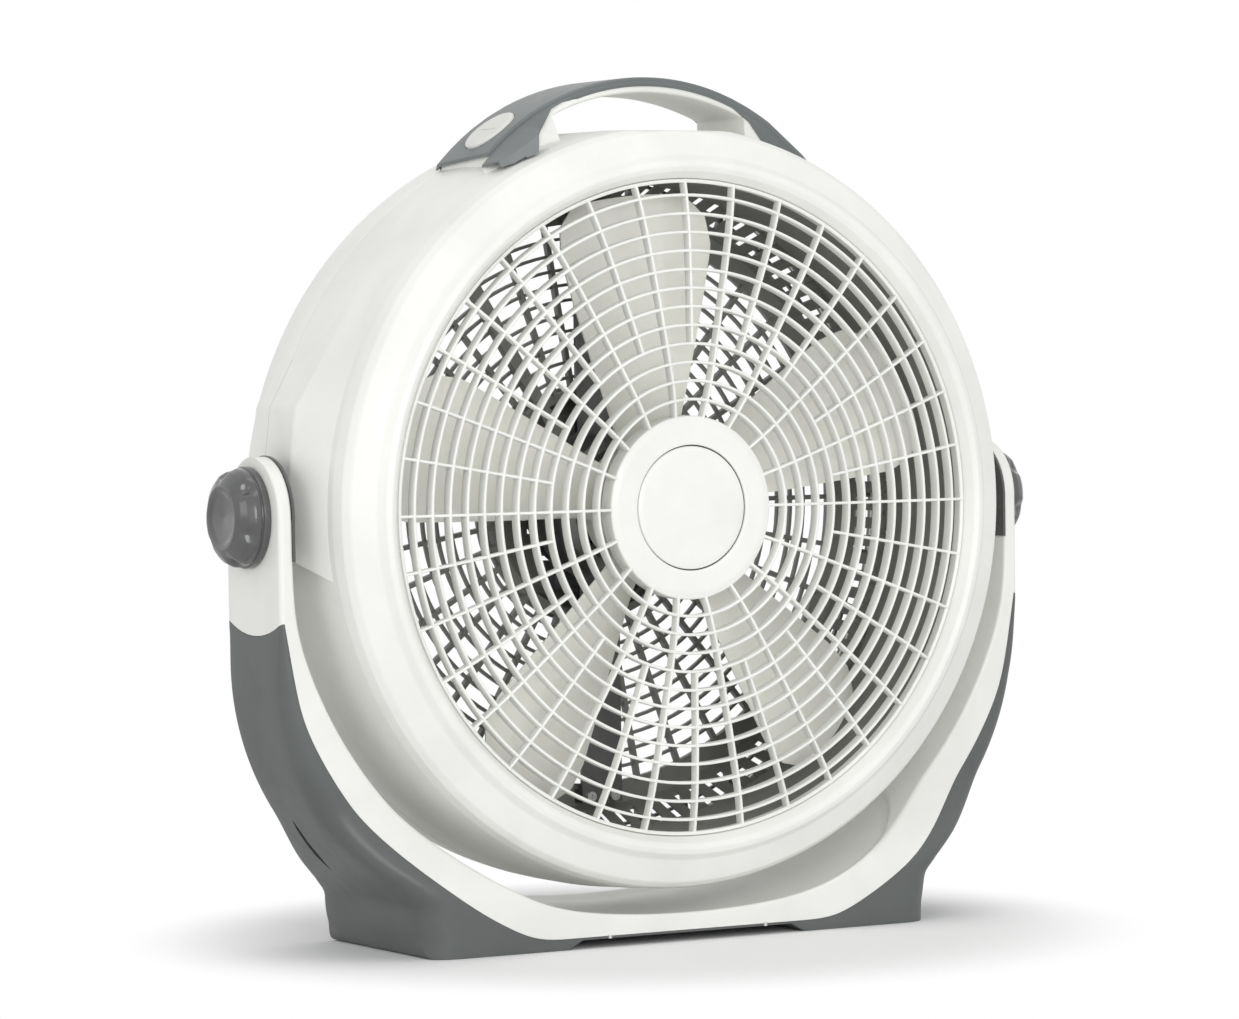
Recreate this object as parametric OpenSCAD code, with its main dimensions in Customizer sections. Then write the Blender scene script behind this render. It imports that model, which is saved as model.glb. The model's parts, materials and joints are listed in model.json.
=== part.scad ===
// Floor fan: a round head with a carry handle, hung between the arms of a U-shaped base.
// Millimetres. +Z is up and air blows towards -Y. The origin is on the floor, under the middle.

/* [Head] */
// Radius of the round air mouth
mouth_r = 210; // [170:1:260]
// Width of the white band from the mouth to the outside of the head
band_w = 39; // [36:1:60]
// Distance from the tilt axis to the front of the lip
head_front = 84; // [84:1:110]
// Distance from the tilt axis to the rear lip
head_back = 70; // [70:1:95]
// Place of the seam between the two shells, behind the tilt axis
seam_y = 30; // [20:1:36]
// Wall of the shells
shell_t = 2.6; // [2:0.1:3.2]

/* [Handle] */
// Height of the handle above the round head
handle_rise = 28; // [26:1:40]
// Radius of the arched top of the handle
handle_arc_r = 165; // [150:1:180]
// Half length of the handle
handle_half_l = 123; // [110:1:130]
// Width of the handle from front to back
handle_w = 62; // [52:1:76]
// Thickness of the dark cover over the handle
cover_t = 6; // [4:0.5:7]
// Thickness of the white grip under the cover
grip_t = 4; // [3:0.5:6]
// Half length of the hand slot
slot_half_l = 73; // [55:1:76]
// Diameter of the speed dial
dial_d = 37; // [28:1:40]

/* [Grilles] */
// Number of spokes in each grille
spoke_n = 36; // [24:2:44]
// Thickness of the ribs of the front grille
rib_t = 2; // [1.6:0.1:2.6]
// Depth of the rings of the front grille
ring_depth = 8; // [5:0.5:9]
// Number of rings between the hub plate and the rim of the front grille
ring_n = 12; // [8:1:14]
// Radius of the hub plate of the front grille
hub_plate_r = 58.8; // [50:0.2:64]
// Radius of the cap in the hub plate
hub_cap_r = 39.5; // [30:0.5:44]
// Number of rings in the middle field of the rear grille
rear_ring_n = 10; // [6:1:12]
// Thickness of the ribs of the rear grille
rear_rib_t = 3; // [2:0.2:3.6]

/* [Fan] */
// Number of blades
blade_n = 5; // [3:1:6]
// Gap between the blade tips and the duct
tip_gap = 9; // [5:0.5:16]
// Thickness of a blade
blade_t = 2.4; // [2:0.1:3]
// Pitch of the blades
blade_pitch = 24; // [16:1:30]
// Radius of the blade hub
blade_hub_r = 40; // [32:1:48]
// Radius of the motor shaft
shaft_r = 4; // [3:0.5:5]
// Radius of the motor
motor_r = 46; // [40:1:54]

/* [Base] */
// Least gap between the head and the saddle of the base
saddle_gap = 4.5; // [4:0.5:12]
// Thickness of the arms at their top
arm_t = 9; // [8:0.5:12]
// Gap between each arm and the head's pivot pod
arm_gap = 7.5; // [6:0.5:12]
// Thickness of the white floor of the saddle
floor_t = 12; // [10:0.5:24]
// Wall of the base mouldings
wall_t = 3; // [2.4:0.2:4]
// Height of the feet below the middle of the base
foot_h = 5.5; // [4:0.5:14]
// Thickness of the rubber pads
pad_t = 2; // [1.5:0.5:4]
// Depth of the feet in front of the tilt axis
foot_front = 68; // [60:1:84]
// Depth of the feet behind the tilt axis
foot_back = 79; // [66:1:84]

/* [Tilt knobs] */
// Radius of the tilt knobs
knob_r = 32; // [26:1:36]
// Height of the tilt knobs
knob_h = 20; // [15:1:28]
// Radius of the threaded studs
stud_r = 4; // [3:0.5:5]

/* [Fits] */
// Radial clearance of every turning fit
run_fit = 0.05; // [0.02:0.01:0.1]
// Clearance between pieces that are fixed to each other
fix_fit = 0.15; // [0.05:0.05:0.3]
// Radius of the small screws
screw_r = 1.6; // [1.2:0.1:2]

/* [Hidden] */
$fn = 180;
over = 1;

// Head: every radius is measured from the fan axis, every y from the tilt axis.
head_r = mouth_r + band_w;
shell_in_r = head_r - shell_t;
mouth_front_y = 8 - head_front;
mouth_back_y = 14 - head_front;
grille_flange_in_r = head_r - 23;
grille_outer_r = head_r - 15.7;
grille_seat_y = head_back - 7.6;
flange_t = 2.4;

// Lip, band and side of the front shell, as [radius, y]: outside first and then inside.
front_outside = [
    [mouth_r, mouth_back_y], [mouth_r, mouth_front_y], [mouth_r + 4.5, 2 - head_front],
    [mouth_r + 7.5, -head_front], [mouth_r + 11, 1 - head_front], [mouth_r + 14, 5 - head_front],
    [head_r - 9, 14 - head_front], [head_r - 6, 18.5 - head_front], [head_r - 3, 27 - head_front],
    [head_r - 1, 38 - head_front], [head_r, 52 - head_front], [head_r, seam_y]];
front_inside = [
    [shell_in_r, seam_y], [shell_in_r, 52 - head_front], [shell_in_r - 1, 39 - head_front],
    [shell_in_r - 3, 28 - head_front], [shell_in_r - 6, 20.5 - head_front],
    [shell_in_r - 8, 17.2 - head_front], [mouth_r + 12.5, 7.4 - head_front],
    [mouth_r + 9.8, 3.8 - head_front], [mouth_r + 7.5, shell_t - head_front],
    [mouth_r + 5.8, 4 - head_front], [mouth_r + shell_t, mouth_front_y + 1],
    [mouth_r + shell_t, mouth_back_y]];
rear_outside = [
    [head_r, seam_y], [head_r - 0.4, seam_y + 15], [head_r - 1.5, head_back - 12],
    [head_r - 3.5, head_back - 5], [head_r - 7, head_back - 1], [head_r - 11, head_back],
    [head_r - 14.5, head_back - 1.5], [head_r - 15.4, head_back - 4],
    [head_r - 15.4, grille_seat_y]];
rear_inside = [
    [grille_flange_in_r, grille_seat_y],
    [grille_flange_in_r, grille_seat_y - flange_t], [shell_in_r - 3.1, grille_seat_y - flange_t],
    [shell_in_r - 1.4, head_back - 13], [shell_in_r - 0.4, seam_y + 15], [shell_in_r, seam_y]];

// Radius that the head sweeps as it tilts.
swept_r = max([for (p = concat(front_outside, rear_outside)) norm(p)]);

// Duct: a plain tube round the blades, then a slotted cone that narrows towards the back.
duct_t = 2.4;
duct_r = mouth_r + 0.4;
duct_back_y = 12;
cone_r = mouth_r + 10;
cone_back_y = head_back - 17;
ring_in_r = mouth_r - 25;
ring_out_r = mouth_r - 7;
ring_t = 4;
cone_end_r = ring_out_r - duct_t - 1;
slots_per_spoke = 3;
slot_w = 4.5;

// Rear grille: the middle field and its open centre.
centre_r = 72;
centre_rim = 5;
rear_field_y = cone_back_y - 3;
rear_rib_h = 5;

// Motor, bracket and cap.
bracket_y = 42;
bracket_t = 3;
bracket_w = 30;
bell_len = 19;
stator_len = 20;
stator_y = bracket_y - stator_len;
bell_neck_r = 15;
bell_neck_len = 9;
bearing_r = 9;
bearing_len = 6;
bearing_setback = 1.5;
cap_len = 29;
cap_back_y = rear_field_y + rear_rib_h + cap_len;
cap_t = 2.4;
shaft_front_y = 26 - head_front;
shaft_back_y = bracket_y + bracket_t + bell_len + 4;
nut_h = 7;
bolt_ring_r = motor_r - 7;
channel_a = 122;
channel_w = 8.5;
lead_r = 2.2;
lead_y = cone_back_y - 6;

// Blades.
blade_tip_r = mouth_r - tip_gap;
hub_front_y = shaft_front_y + nut_h;
hub_back_y = -8;
hub_wall = 3;
camber_r = 190;

// Handle and dial.
handle_top = head_r + handle_rise;
arc_z = handle_top - handle_arc_r;
slot_floor_z = head_r - 8;
slot_arch_r = handle_arc_r + 7;
grip_back = 1.5;
dial_r = dial_d / 2;
dial_x = -100;
dial_a = asin(dial_x / handle_arc_r);
dial_proud = 1.5;
dial_t = cover_t;
spindle_r = 3;
spindle_len = 16;
switch_r = 14;
switch_len = 18;

// Pivot pods on the head, arms of the base.
pod_r = 55;
pod_foot_r = 64;
pod_x = head_r + 9.5;
pod_foot_x = head_r - 3;
pod_root_x = head_r - 13;
pod_tube_r = 12;
arm_in_x = pod_x + arm_gap;
arm_out_x = arm_in_x + arm_t;
arm_front = 42;
arm_back = 34;
arm_mid_y = (arm_back - arm_front) / 2;
arm_top_r = (arm_front + arm_back) / 2;
nut_af = 13;
nut_t = 6.5;
nut_x = pod_x - 14;
bush_r = 8;
bush_flange_r = 14;
bush_flange_t = 4;

// Base, in the same axes: z is measured from the tilt axis.
saddle_low = swept_r + saddle_gap;
saddle_side_r = head_r + 24.5;
saddle_rise = 4;
saddle_floor_r = 690;
band_r = head_r + 43;
band_side_r = head_r + 34;
band_drop = 14;
band_low = saddle_low + floor_t;
outer_r = head_r - 74;
outer_x = arm_out_x - outer_r;
outer_drop = head_r - 157;
plate_t = 2;
belly_z = -(band_low + plate_t);
sole_z = belly_z - foot_h + pad_t;
floor_z = sole_z - pad_t;
pivot_h = -floor_z;
knee_z = -(head_r - 14);
foot_in_x = 83;
foot_out_x = head_r - 59;
lean_top = -(head_r - 69);
lean_low = -(head_r - 4);
lobe_r = 83;
lobe_y = -5;
lobe_z = 9;

// ---- Helpers ----

// Everything is drawn about the tilt axis and lifted to its height above the floor.
module lifted() {
    translate([0, 0, pivot_h]) children();
}

// Solid of revolution about the fan axis, from an outline of [radius, y] points.
module lathe() {
    rotate([-90, 0, 0]) rotate_extrude() children();
}

// Round bar or tube along the fan axis, from y0 to y1.
module rod_y(r, y0, y1) {
    translate([0, y0, 0]) rotate([-90, 0, 0]) cylinder(r = r, h = y1 - y0);
}

// Round bar along the tilt axis, from x0 to x1.
module rod_x(r, x0, x1) {
    translate([x0, 0, 0]) rotate([0, 90, 0]) cylinder(r = r, h = x1 - x0);
}

// Outline of [x, z] points made solid from y0 to y1.
module slab(y0, y1) {
    translate([0, y1, 0]) rotate([90, 0, 0]) linear_extrude(y1 - y0) children();
}

// Outline of [y, z] points made solid from x0 to x1.
module across(x0, x1) {
    translate([x0, 0, 0]) rotate([90, 0, 90]) linear_extrude(x1 - x0) children();
}

module both_sides() {
    children();
    mirror([1, 0, 0]) children();
}

module box(low, high) {
    translate(low) cube(high - low);
}

// Copies on a circle about the fan axis: the first points along +X, the next ones turn upwards.
module around(n, first = 0) {
    for (i = [0 : n - 1]) rotate([0, -(first + i * 360 / n), 0]) children();
}

// Frame of the dial: local +Z points out of the handle's arched top.
module at_dial() {
    translate([0, 0, arc_z]) rotate([0, dial_a, 0]) translate([0, 0, handle_arc_r]) children();
}

// Pan-head screw along +Z, its head on top of z = 0.
module screw(len, head_r = 3.4, head_h = 2.2) {
    translate([0, 0, -len]) cylinder(r = screw_r, h = len);
    difference() {
        cylinder(r = head_r, h = head_h);
        translate([0, 0, head_h / 2]) box([-0.5, -head_r / 2, 0], [0.5, head_r / 2, head_h]);
        translate([0, 0, head_h / 2]) box([-head_r / 2, -0.5, 0], [head_r / 2, 0.5, head_h]);
    }
}

module hex(af, h) {
    cylinder(r = af / sqrt(3), h = h, $fn = 6);
}

// ---- Base ----

// The hollow that the head tilts in, seen from the front, grown by e.
module saddle_2d(e = 0) {
    intersection() {
        translate([0, saddle_rise]) circle(saddle_side_r + e);
        translate([0, saddle_floor_r - saddle_low]) circle(saddle_floor_r + e);
        translate([-arm_in_x - e, -2 * head_r]) square([2 * (arm_in_x + e), 4 * head_r]);
    }
    translate([-arm_in_x - e, 0]) square([2 * (arm_in_x + e), head_r]);
}

// Outside of the base seen from the front, shrunk by e; the feet are separate.
module outer_2d(e = 0) {
    intersection() {
        union() {
            for (side = [-1, 1]) translate([side * outer_x, -outer_drop]) circle(outer_r - e);
            translate([-outer_x, -outer_drop - outer_r + e]) square([2 * outer_x, outer_r]);
        }
        translate([-arm_out_x + e, knee_z + e]) square([2 * (arm_out_x - e), -knee_z - e]);
    }
    translate([-arm_out_x + e, -outer_drop]) square([2 * (arm_out_x - e), outer_drop + arm_top_r]);
    translate([-foot_out_x + e, belly_z + plate_t])
        square([2 * (foot_out_x - e), knee_z + 2 * e - belly_z - plate_t]);
}

module feet_2d(e = 0) {
    for (side = [-1, 1])
        translate([side * (foot_in_x + foot_out_x) / 2, (sole_z + e + knee_z) / 2])
            square([foot_out_x - foot_in_x - 2 * e, knee_z - sole_z - e], center = true);
}

// The white band: inside of the outer skin, above the belly, within the two band circles.
module band_2d(e = 0) {
    intersection() {
        outer_2d(wall_t + e);
        circle(band_r - e);
        translate([0, -band_drop]) circle(band_side_r - e);
        translate([-arm_out_x, belly_z + plate_t + e]) square([2 * arm_out_x, -belly_z]);
    }
}

// Side view of the base, shrunk by e: narrow arms that widen in an S towards the feet.
function s_curve(t) = t * t * (3 - 2 * t);
function lean(t, top, low) = [top + (low - top) * s_curve(t), lean_top + (lean_low - lean_top) * t];
lean_steps = 8;

module side_2d(e = 0) {
    front = [for (i = [0 : lean_steps]) lean(i / lean_steps, e - arm_front, e - foot_front)];
    back = [for (i = [lean_steps : -1 : 0]) lean(i / lean_steps, arm_back - e, foot_back - e)];
    polygon(concat([[e - arm_front, 0]], front, [[e - foot_front, floor_z]],
                   [[foot_back - e, floor_z]], back, [[arm_back - e, 0]]));
    translate([arm_mid_y, 0]) circle(arm_top_r - e);
}

module side_solid(e = 0) {
    across(-arm_out_x - over, arm_out_x + over) side_2d(e);
}

// Round lobe of the arm that the dark wrap leaves uncovered.
module lobe(r) {
    translate([0, lobe_y, lobe_z]) rod_x(r, -arm_out_x - over, arm_out_x + over);
}

module full_depth() {
    slab(-head_front, head_front) children();
}

module base_cradle() {
    color("whitesmoke") lifted() difference() {
        intersection() {
            side_solid();
            union() {
                full_depth() band_2d();
                intersection() {
                    full_depth() outer_2d();
                    lobe(lobe_r - fix_fit);
                }
            }
        }
        full_depth() saddle_2d();
        difference() {
            intersection() {
                side_solid(wall_t);
                full_depth() translate([-arm_out_x, belly_z]) square([2 * arm_out_x, -belly_z]);
            }
            full_depth() saddle_2d(wall_t);
            lobe(lobe_r + wall_t);
        }
        rod_x(bush_r + fix_fit, -arm_out_x - over, arm_out_x + over);
    }
}

// Slot in the outer skin of the wrap, above each foot.
module wrap_slot() {
    slot_mid_a = 43;
    translate([outer_x, 30, -outer_drop]) rotate([0, slot_mid_a, 0])
        box([outer_r - 2 * wall_t, -2.6, -22], [outer_r + over, 2.6, 22]);
}

module base_wrap() {
    color("dimgray") lifted() difference() {
        intersection() {
            side_solid();
            union() {
                full_depth() outer_2d();
                full_depth() feet_2d();
                full_depth() translate([-foot_out_x, belly_z]) square([2 * foot_out_x, plate_t + over]);
            }
        }
        full_depth() band_2d(-fix_fit);
        full_depth() saddle_2d();
        lobe(lobe_r);
        intersection() {
            side_solid(wall_t);
            union() {
                full_depth() outer_2d(wall_t);
                full_depth() feet_2d(wall_t);
            }
        }
        both_sides() wrap_slot();
        base_screw_places() cylinder(r = screw_r + fix_fit, h = 4 * plate_t, center = true);
    }
}

module foot_pads() {
    pad_l = 26;
    pad_w = 16;
    color("black") lifted()
        for (x = [-1, 1], y = [14 - foot_front + pad_w / 2, foot_back - 8 - pad_w / 2])
            translate([x * (foot_in_x + foot_out_x) / 2 - pad_l / 2, y - pad_w / 2, floor_z])
                cube([pad_l, pad_w, pad_t]);
}

module base_screw_places() {
    for (x = [-58, 58], y = [wall_t / 2 - foot_front, foot_back - wall_t / 2])
        translate([x, y, belly_z]) children();
}

module base_screws() {
    color("silver") lifted()
        base_screw_places() cylinder(r = screw_r, h = plate_t);
}

module arm_bushes() {
    color("ivory") lifted() both_sides() difference() {
        union() {
            rod_x(bush_r, arm_in_x, arm_out_x - 0.5);
            rod_x(bush_flange_r, arm_in_x - bush_flange_t, arm_in_x);
        }
        rod_x(stud_r + run_fit, arm_in_x - bush_flange_t - over, arm_out_x + over);
    }
}

// ---- Head shells ----

module below_slot_floor(drop = 0) {
    box([-2 * head_r, -2 * head_r, -2 * head_r], [2 * head_r, 2 * head_r, slot_floor_z - drop]);
}

// Arched outline of the handle, shrunk by e, down into the head.
module handle_2d(e = 0) {
    intersection() {
        translate([0, arc_z]) circle(handle_arc_r - e);
        translate([-handle_half_l, 0]) square([2 * handle_half_l, handle_top]);
    }
}

module hand_slot_2d() {
    arch_top = handle_top - cover_t - grip_t;
    intersection() {
        translate([0, arch_top - slot_arch_r]) circle(slot_arch_r);
        translate([-slot_half_l, slot_floor_z]) square([2 * slot_half_l, handle_rise + 8]);
    }
}

// Ends of the cover seen from the front: the skirts that run down onto the head.
module skirt_2d() {
    both_sides() polygon([
        [62, handle_top - 19], [76, handle_top - 28], [84.6, handle_top - 37],
        [90, handle_top - 42], [90.6, handle_top - 51], [116, handle_top - 62],
        [handle_half_l, handle_top - 56], [handle_half_l, handle_top], [62, handle_top]]);
}

module head_round(r) {
    rod_y(r, -2 * head_front, 2 * head_front);
}

// Hole for the switch, through the handle and the head's wall.
module switch_room() {
    at_dial() translate([0, 0, -2 * cover_t - switch_len - 12])
        cylinder(r = switch_r + 1, h = switch_len + 20);
}

// The white part of the handle: everything under the cover, down to the head.
module handle_grip() {
    y = handle_w / 2 - grip_back;
    color("whitesmoke") lifted() difference() {
        slab(-y, y) handle_2d(cover_t + fix_fit);
        slab(-handle_w, handle_w) hand_slot_2d();
        head_round(head_r + fix_fit);
        switch_room();
        slab(-handle_w / 2 - over, 2 - handle_w / 2) skirt_2d();
        slab(handle_w / 2 - 2, handle_w / 2 + over) skirt_2d();
    }
}

module pod_wedge() {
    for (s = [-1, 1]) across(-2 * head_r, 2 * head_r) polygon([
        [s * 33, -28], [s * 70, -48.5], [s * 70, -70], [s * 33, -70]]);
}

// Hollow pod on the side of the head, with a tube for the stud and a seat for its nut.
module pod() {
    difference() {
        rotate([0, 90, 0]) rotate_extrude() polygon([
            [pod_foot_r - shell_t, pod_root_x], [pod_foot_r, pod_root_x],
            [pod_foot_r, pod_foot_x], [pod_r, pod_x - 1.5], [pod_r, pod_x], [0, pod_x],
            [0, pod_x - shell_t], [pod_r - shell_t, pod_x - shell_t],
            [pod_foot_r - shell_t, pod_foot_x]]);
        head_round(shell_in_r);
        pod_wedge();
    }
    rod_x(pod_tube_r, nut_x - 3, pod_x);
}

// Way for the stud and the captive nut, which drops in from above.
module nut_room() {
    rod_x(stud_r + 4 * fix_fit, nut_x - 6, pod_x + over);
    half = nut_af / 2 + fix_fit;
    point = 2 * half / sqrt(3);
    translate([nut_x, 0, 0]) rotate([0, 90, 0]) linear_extrude(nut_t + 2 * fix_fit) polygon([
        [point, 0], [point / 2, half], [-pod_tube_r - over, half],
        [-pod_tube_r - over, -half], [point / 2, -half]]);
}

// Space that the pods take out of the rear shell.
module pod_room() {
    both_sides() rod_x(pod_foot_r + 0.4, pod_root_x - 20, pod_x);
}

screw_a = [18, 62, 118, 162, 214, 252, 288, 326];
boss_r = 5;
boss_ring_r = shell_in_r - boss_r + 1;
boss_len = 26;
screw_seat_y = seam_y + 12;

module at_shell_screws() {
    for (a = screw_a) rotate([0, -a, 0]) translate([boss_ring_r, 0, 0]) rotate([-90, 0, 0]) children();
}

module front_shell() {
    color("whitesmoke") lifted() difference() {
        union() {
            intersection() {
                lathe() polygon(concat(front_outside, front_inside));
                below_slot_floor();
            }
            flat_wall(concat(front_outside, [[mouth_r, seam_y]]));
            both_sides() pod();
            at_shell_screws() translate([0, 0, seam_y - boss_len]) cylinder(r = boss_r, h = boss_len - 0.8);
        }
        at_shell_screws() translate([0, 0, seam_y - boss_len + 4])
            cylinder(r = screw_r + fix_fit, h = boss_len);
        both_sides() nut_room();
        switch_room();
    }
}

// Flat wall level with the floor of the hand slot, where the round wall is cut away.
module flat_wall(profile) {
    half = sqrt(pow(head_r, 2) - pow(slot_floor_z, 2)) - 0.6;
    intersection() {
        lathe() polygon(profile);
        box([-half, -head_front, slot_floor_z - shell_t], [half, head_back, slot_floor_z]);
    }
}

module rear_shell() {
    color("gainsboro") lifted() difference() {
        union() {
            intersection() {
                lathe() polygon(concat(rear_outside, rear_inside));
                below_slot_floor();
            }
            at_shell_screws() translate([0, 0, seam_y + 0.5])
                cylinder(r = boss_r, h = grille_seat_y - flange_t - seam_y);
            flat_wall(concat(rear_outside, [[grille_outer_r, seam_y]]));
        }
        at_shell_screws() {
            translate([0, 0, seam_y - over]) cylinder(r = screw_r + fix_fit, h = boss_len);
            translate([0, 0, screw_seat_y]) cylinder(r = 3.7, h = head_back);
        }
        pod_room();
        rear_screw_places() cylinder(r = screw_r + fix_fit, h = 3 * flange_t, center = true);
    }
}

module handle_cover() {
    y = handle_w / 2;
    color("dimgray") lifted() difference() {
        union() {
            slab(-y, y) difference() {
                handle_2d();
                handle_2d(cover_t);
            }
            for (s = [-1, 1]) intersection() {
                slab(s * (y - 1) - 1, s * (y - 1) + 1) intersection() {
                    skirt_2d();
                    handle_2d();
                }
                difference() {
                    slab(-handle_w, handle_w) handle_2d();
                    head_round(head_r + 0.3);
                }
            }
        }
        head_round(head_r + 0.3);
        at_dial() translate([0, 0, -2 * cover_t]) cylinder(r = dial_r + 0.4, h = 4 * cover_t);
    }
}

// ---- Front grille ----

grille_pitch = (mouth_r - 2.3 - hub_plate_r - 10.5) / (ring_n - 0.3);
function ring_r(k) = hub_plate_r + 10.5 + grille_pitch * (k - 1);
// The grille is a shallow dome: flat-topped, dropping towards the rim.
function dome_y(r) = 1 - head_front + 3.2 * pow(abs(r - 0.55 * mouth_r) / (0.45 * mouth_r), 2)
                     + 3 * pow(max(0, r - 0.8 * mouth_r) / (0.2 * mouth_r), 2)
                     + 3 * pow(max(0, 1.5 * hub_plate_r - r) / (0.5 * hub_plate_r), 2);
spoke_depth = 6;
plate_y = 6 - head_front;
hub_plate_t = 3;

function spoke_outline(r0, r1) = let (n = 6) concat(
    [for (i = [0 : n]) let (r = r0 + (r1 - r0) * i / n) [r, dome_y(r)]],
    [for (i = [n : -1 : 0]) let (r = r0 + (r1 - r0) * i / n) [r, dome_y(r) + spoke_depth]]);

module spoke(r0, r1) {
    translate([0, 0, -rib_t / 2]) linear_extrude(rib_t) polygon(spoke_outline(r0, r1));
}

module front_grille() {
    rim_r = mouth_r - fix_fit;
    color("white") lifted() {
        difference() {
            union() {
                around(spoke_n / 2) spoke(hub_plate_r - 2, rim_r - 1);
                around(spoke_n / 2, 360 / spoke_n) spoke(ring_r(4), rim_r - 1);
                lathe() for (k = [1 : ring_n])
                    translate([ring_r(k) - rib_t / 2, dome_y(ring_r(k)) - 0.4])
                        square([rib_t, ring_depth]);
                lathe() translate([rim_r - rib_t, dome_y(rim_r) - 0.6]) square([rib_t, ring_depth]);
                rod_y(hub_plate_r, plate_y, plate_y + hub_plate_t);
                lathe() translate([hub_plate_r - 2.4, plate_y]) square([2.4, 12]);
            }
            rod_y(hub_cap_r + fix_fit, plate_y - over, plate_y + 1.2);
        }
    }
}

module hub_cap() {
    r = hub_cap_r;
    color("white") lifted() lathe() polygon([
        [0, plate_y - 2], [0.4 * r, plate_y - 1.8], [0.75 * r, plate_y - 1.3],
        [r - 1, plate_y - 0.5], [r, plate_y], [r, plate_y + 1.2], [0, plate_y + 1.2]]);
}

// ---- Duct and rear grille ----

module air_duct() {
    slot_n = slots_per_spoke * spoke_n;
    color("dimgray") lifted() difference() {
        lathe() polygon([
            [duct_r, mouth_back_y], [duct_r + duct_t, mouth_back_y],
            [duct_r + duct_t, duct_back_y - duct_t], [cone_r + duct_t, duct_back_y - duct_t],
            [cone_end_r + duct_t, cone_back_y], [cone_end_r, cone_back_y],
            [cone_r, duct_back_y], [duct_r, duct_back_y]]);
        around(slot_n)
            box([cone_end_r - 8, duct_back_y + 5, -slot_w / 2], [cone_r + 8, cone_back_y - 6, slot_w / 2]);
        rotate([0, -channel_a, 0]) translate([0, lead_y, 0])
            rotate([0, 90, 0]) cylinder(r = lead_r + 1.5, h = head_r);
    }
}

rear_pitch = (ring_in_r - centre_r - 2) / (rear_ring_n + 1);

module rear_spoke(r0, r1, y0, y1) {
    translate([0, 0, -rear_rib_t / 2]) linear_extrude(rear_rib_t)
        polygon([[r0, y0], [r1, y1], [r1, y1 + rear_rib_h], [r0, y0 + rear_rib_h]]);
}

module rear_grille() {
    seat_y = grille_seat_y + fix_fit;
    color("dimgray") lifted() difference() {
        union() {
            lathe() {
                translate([grille_flange_in_r, seat_y]) square([grille_outer_r - grille_flange_in_r, 3]);
                translate([ring_in_r, cone_back_y]) square([ring_out_r - ring_in_r, ring_t]);
                translate([centre_r, rear_field_y]) square([centre_rim, rear_rib_h + 3]);
                for (k = [1 : rear_ring_n]) translate([centre_r + 2 + k * rear_pitch, rear_field_y + 2])
                    square([2, rear_rib_h - 2]);
                translate([(ring_out_r + grille_flange_in_r) / 2, (cone_back_y + seat_y) / 2 + 1])
                    square([2, rear_rib_h - 2]);
            }
            around(spoke_n) {
                rear_spoke(centre_r + 2, ring_in_r + 2, rear_field_y - 0.5, rear_field_y - 0.5);
                rear_spoke(ring_out_r - 2, grille_flange_in_r + 1, cone_back_y + 0.5, seat_y + 0.5);
            }
        }
        rear_screw_places() cylinder(r = screw_r + fix_fit, h = 8 * flange_t, center = true);
        bracket_screw_places() cylinder(r = screw_r + fix_fit, h = 60, center = true);
    }
}

rear_screw_n = 6;
module rear_screw_places() {
    rotate([0, -5, 0]) around(rear_screw_n)
        translate([(grille_flange_in_r + grille_outer_r) / 2, grille_seat_y, 0])
            rotate([-90, 0, 0]) children();
}

bracket_screw_r = ring_in_r + 7.5;
module bracket_screw_places() {
    for (s = [-1, 1], x = [-9, 9])
        translate([x, bracket_y, s * bracket_screw_r]) rotate([90, 0, 0]) children();
}

// Steel strap from the top to the bottom of the rear grille, with feet that stand on its ring.
module motor_bracket() {
    reach = cone_end_r - 3;
    foot_l = reach - ring_in_r - 3;
    color("darkslategray") lifted() difference() {
        union() {
            box([-bracket_w / 2, bracket_y, -reach], [bracket_w / 2, bracket_y + bracket_t, reach]);
            rod_y(motor_r + 4, bracket_y, bracket_y + bracket_t);
            for (s = [0, 180]) rotate([0, s, 0])
                box([-bracket_w / 2, bracket_y, reach - foot_l], [bracket_w / 2, cone_back_y, reach]);
        }
        rod_y(motor_r - 14, bracket_y - over, bracket_y + bracket_t + over);
        at_motor_bolts() cylinder(r = 2.3, h = 20, center = true);
        bracket_screw_places() cylinder(r = screw_r + fix_fit, h = 60, center = true);
    }
}

module bracket_screws() {
    color("silver") lifted() bracket_screw_places() screw(cone_back_y + ring_t - bracket_y - 0.5);
}

// Open channel that carries the lead from the rim to the motor.
module wire_channel() {
    depth = 7;
    color("dimgray") lifted() rotate([0, -channel_a, 0])
        translate([0, rear_field_y - depth - 0.7, 0]) difference() {
            box([motor_r + 8, 0, -channel_w / 2], [ring_in_r + 6, depth, channel_w / 2]);
            box([motor_r + 5, 1.6, 1.6 - channel_w / 2], [ring_in_r + 8, depth + over, channel_w / 2 - 1.6]);
        }
}

// ---- Motor ----

module at_motor_bolts() {
    rotate([0, -45, 0]) around(4) translate([bolt_ring_r, bracket_y, 0]) rotate([-90, 0, 0]) children();
}

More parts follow.
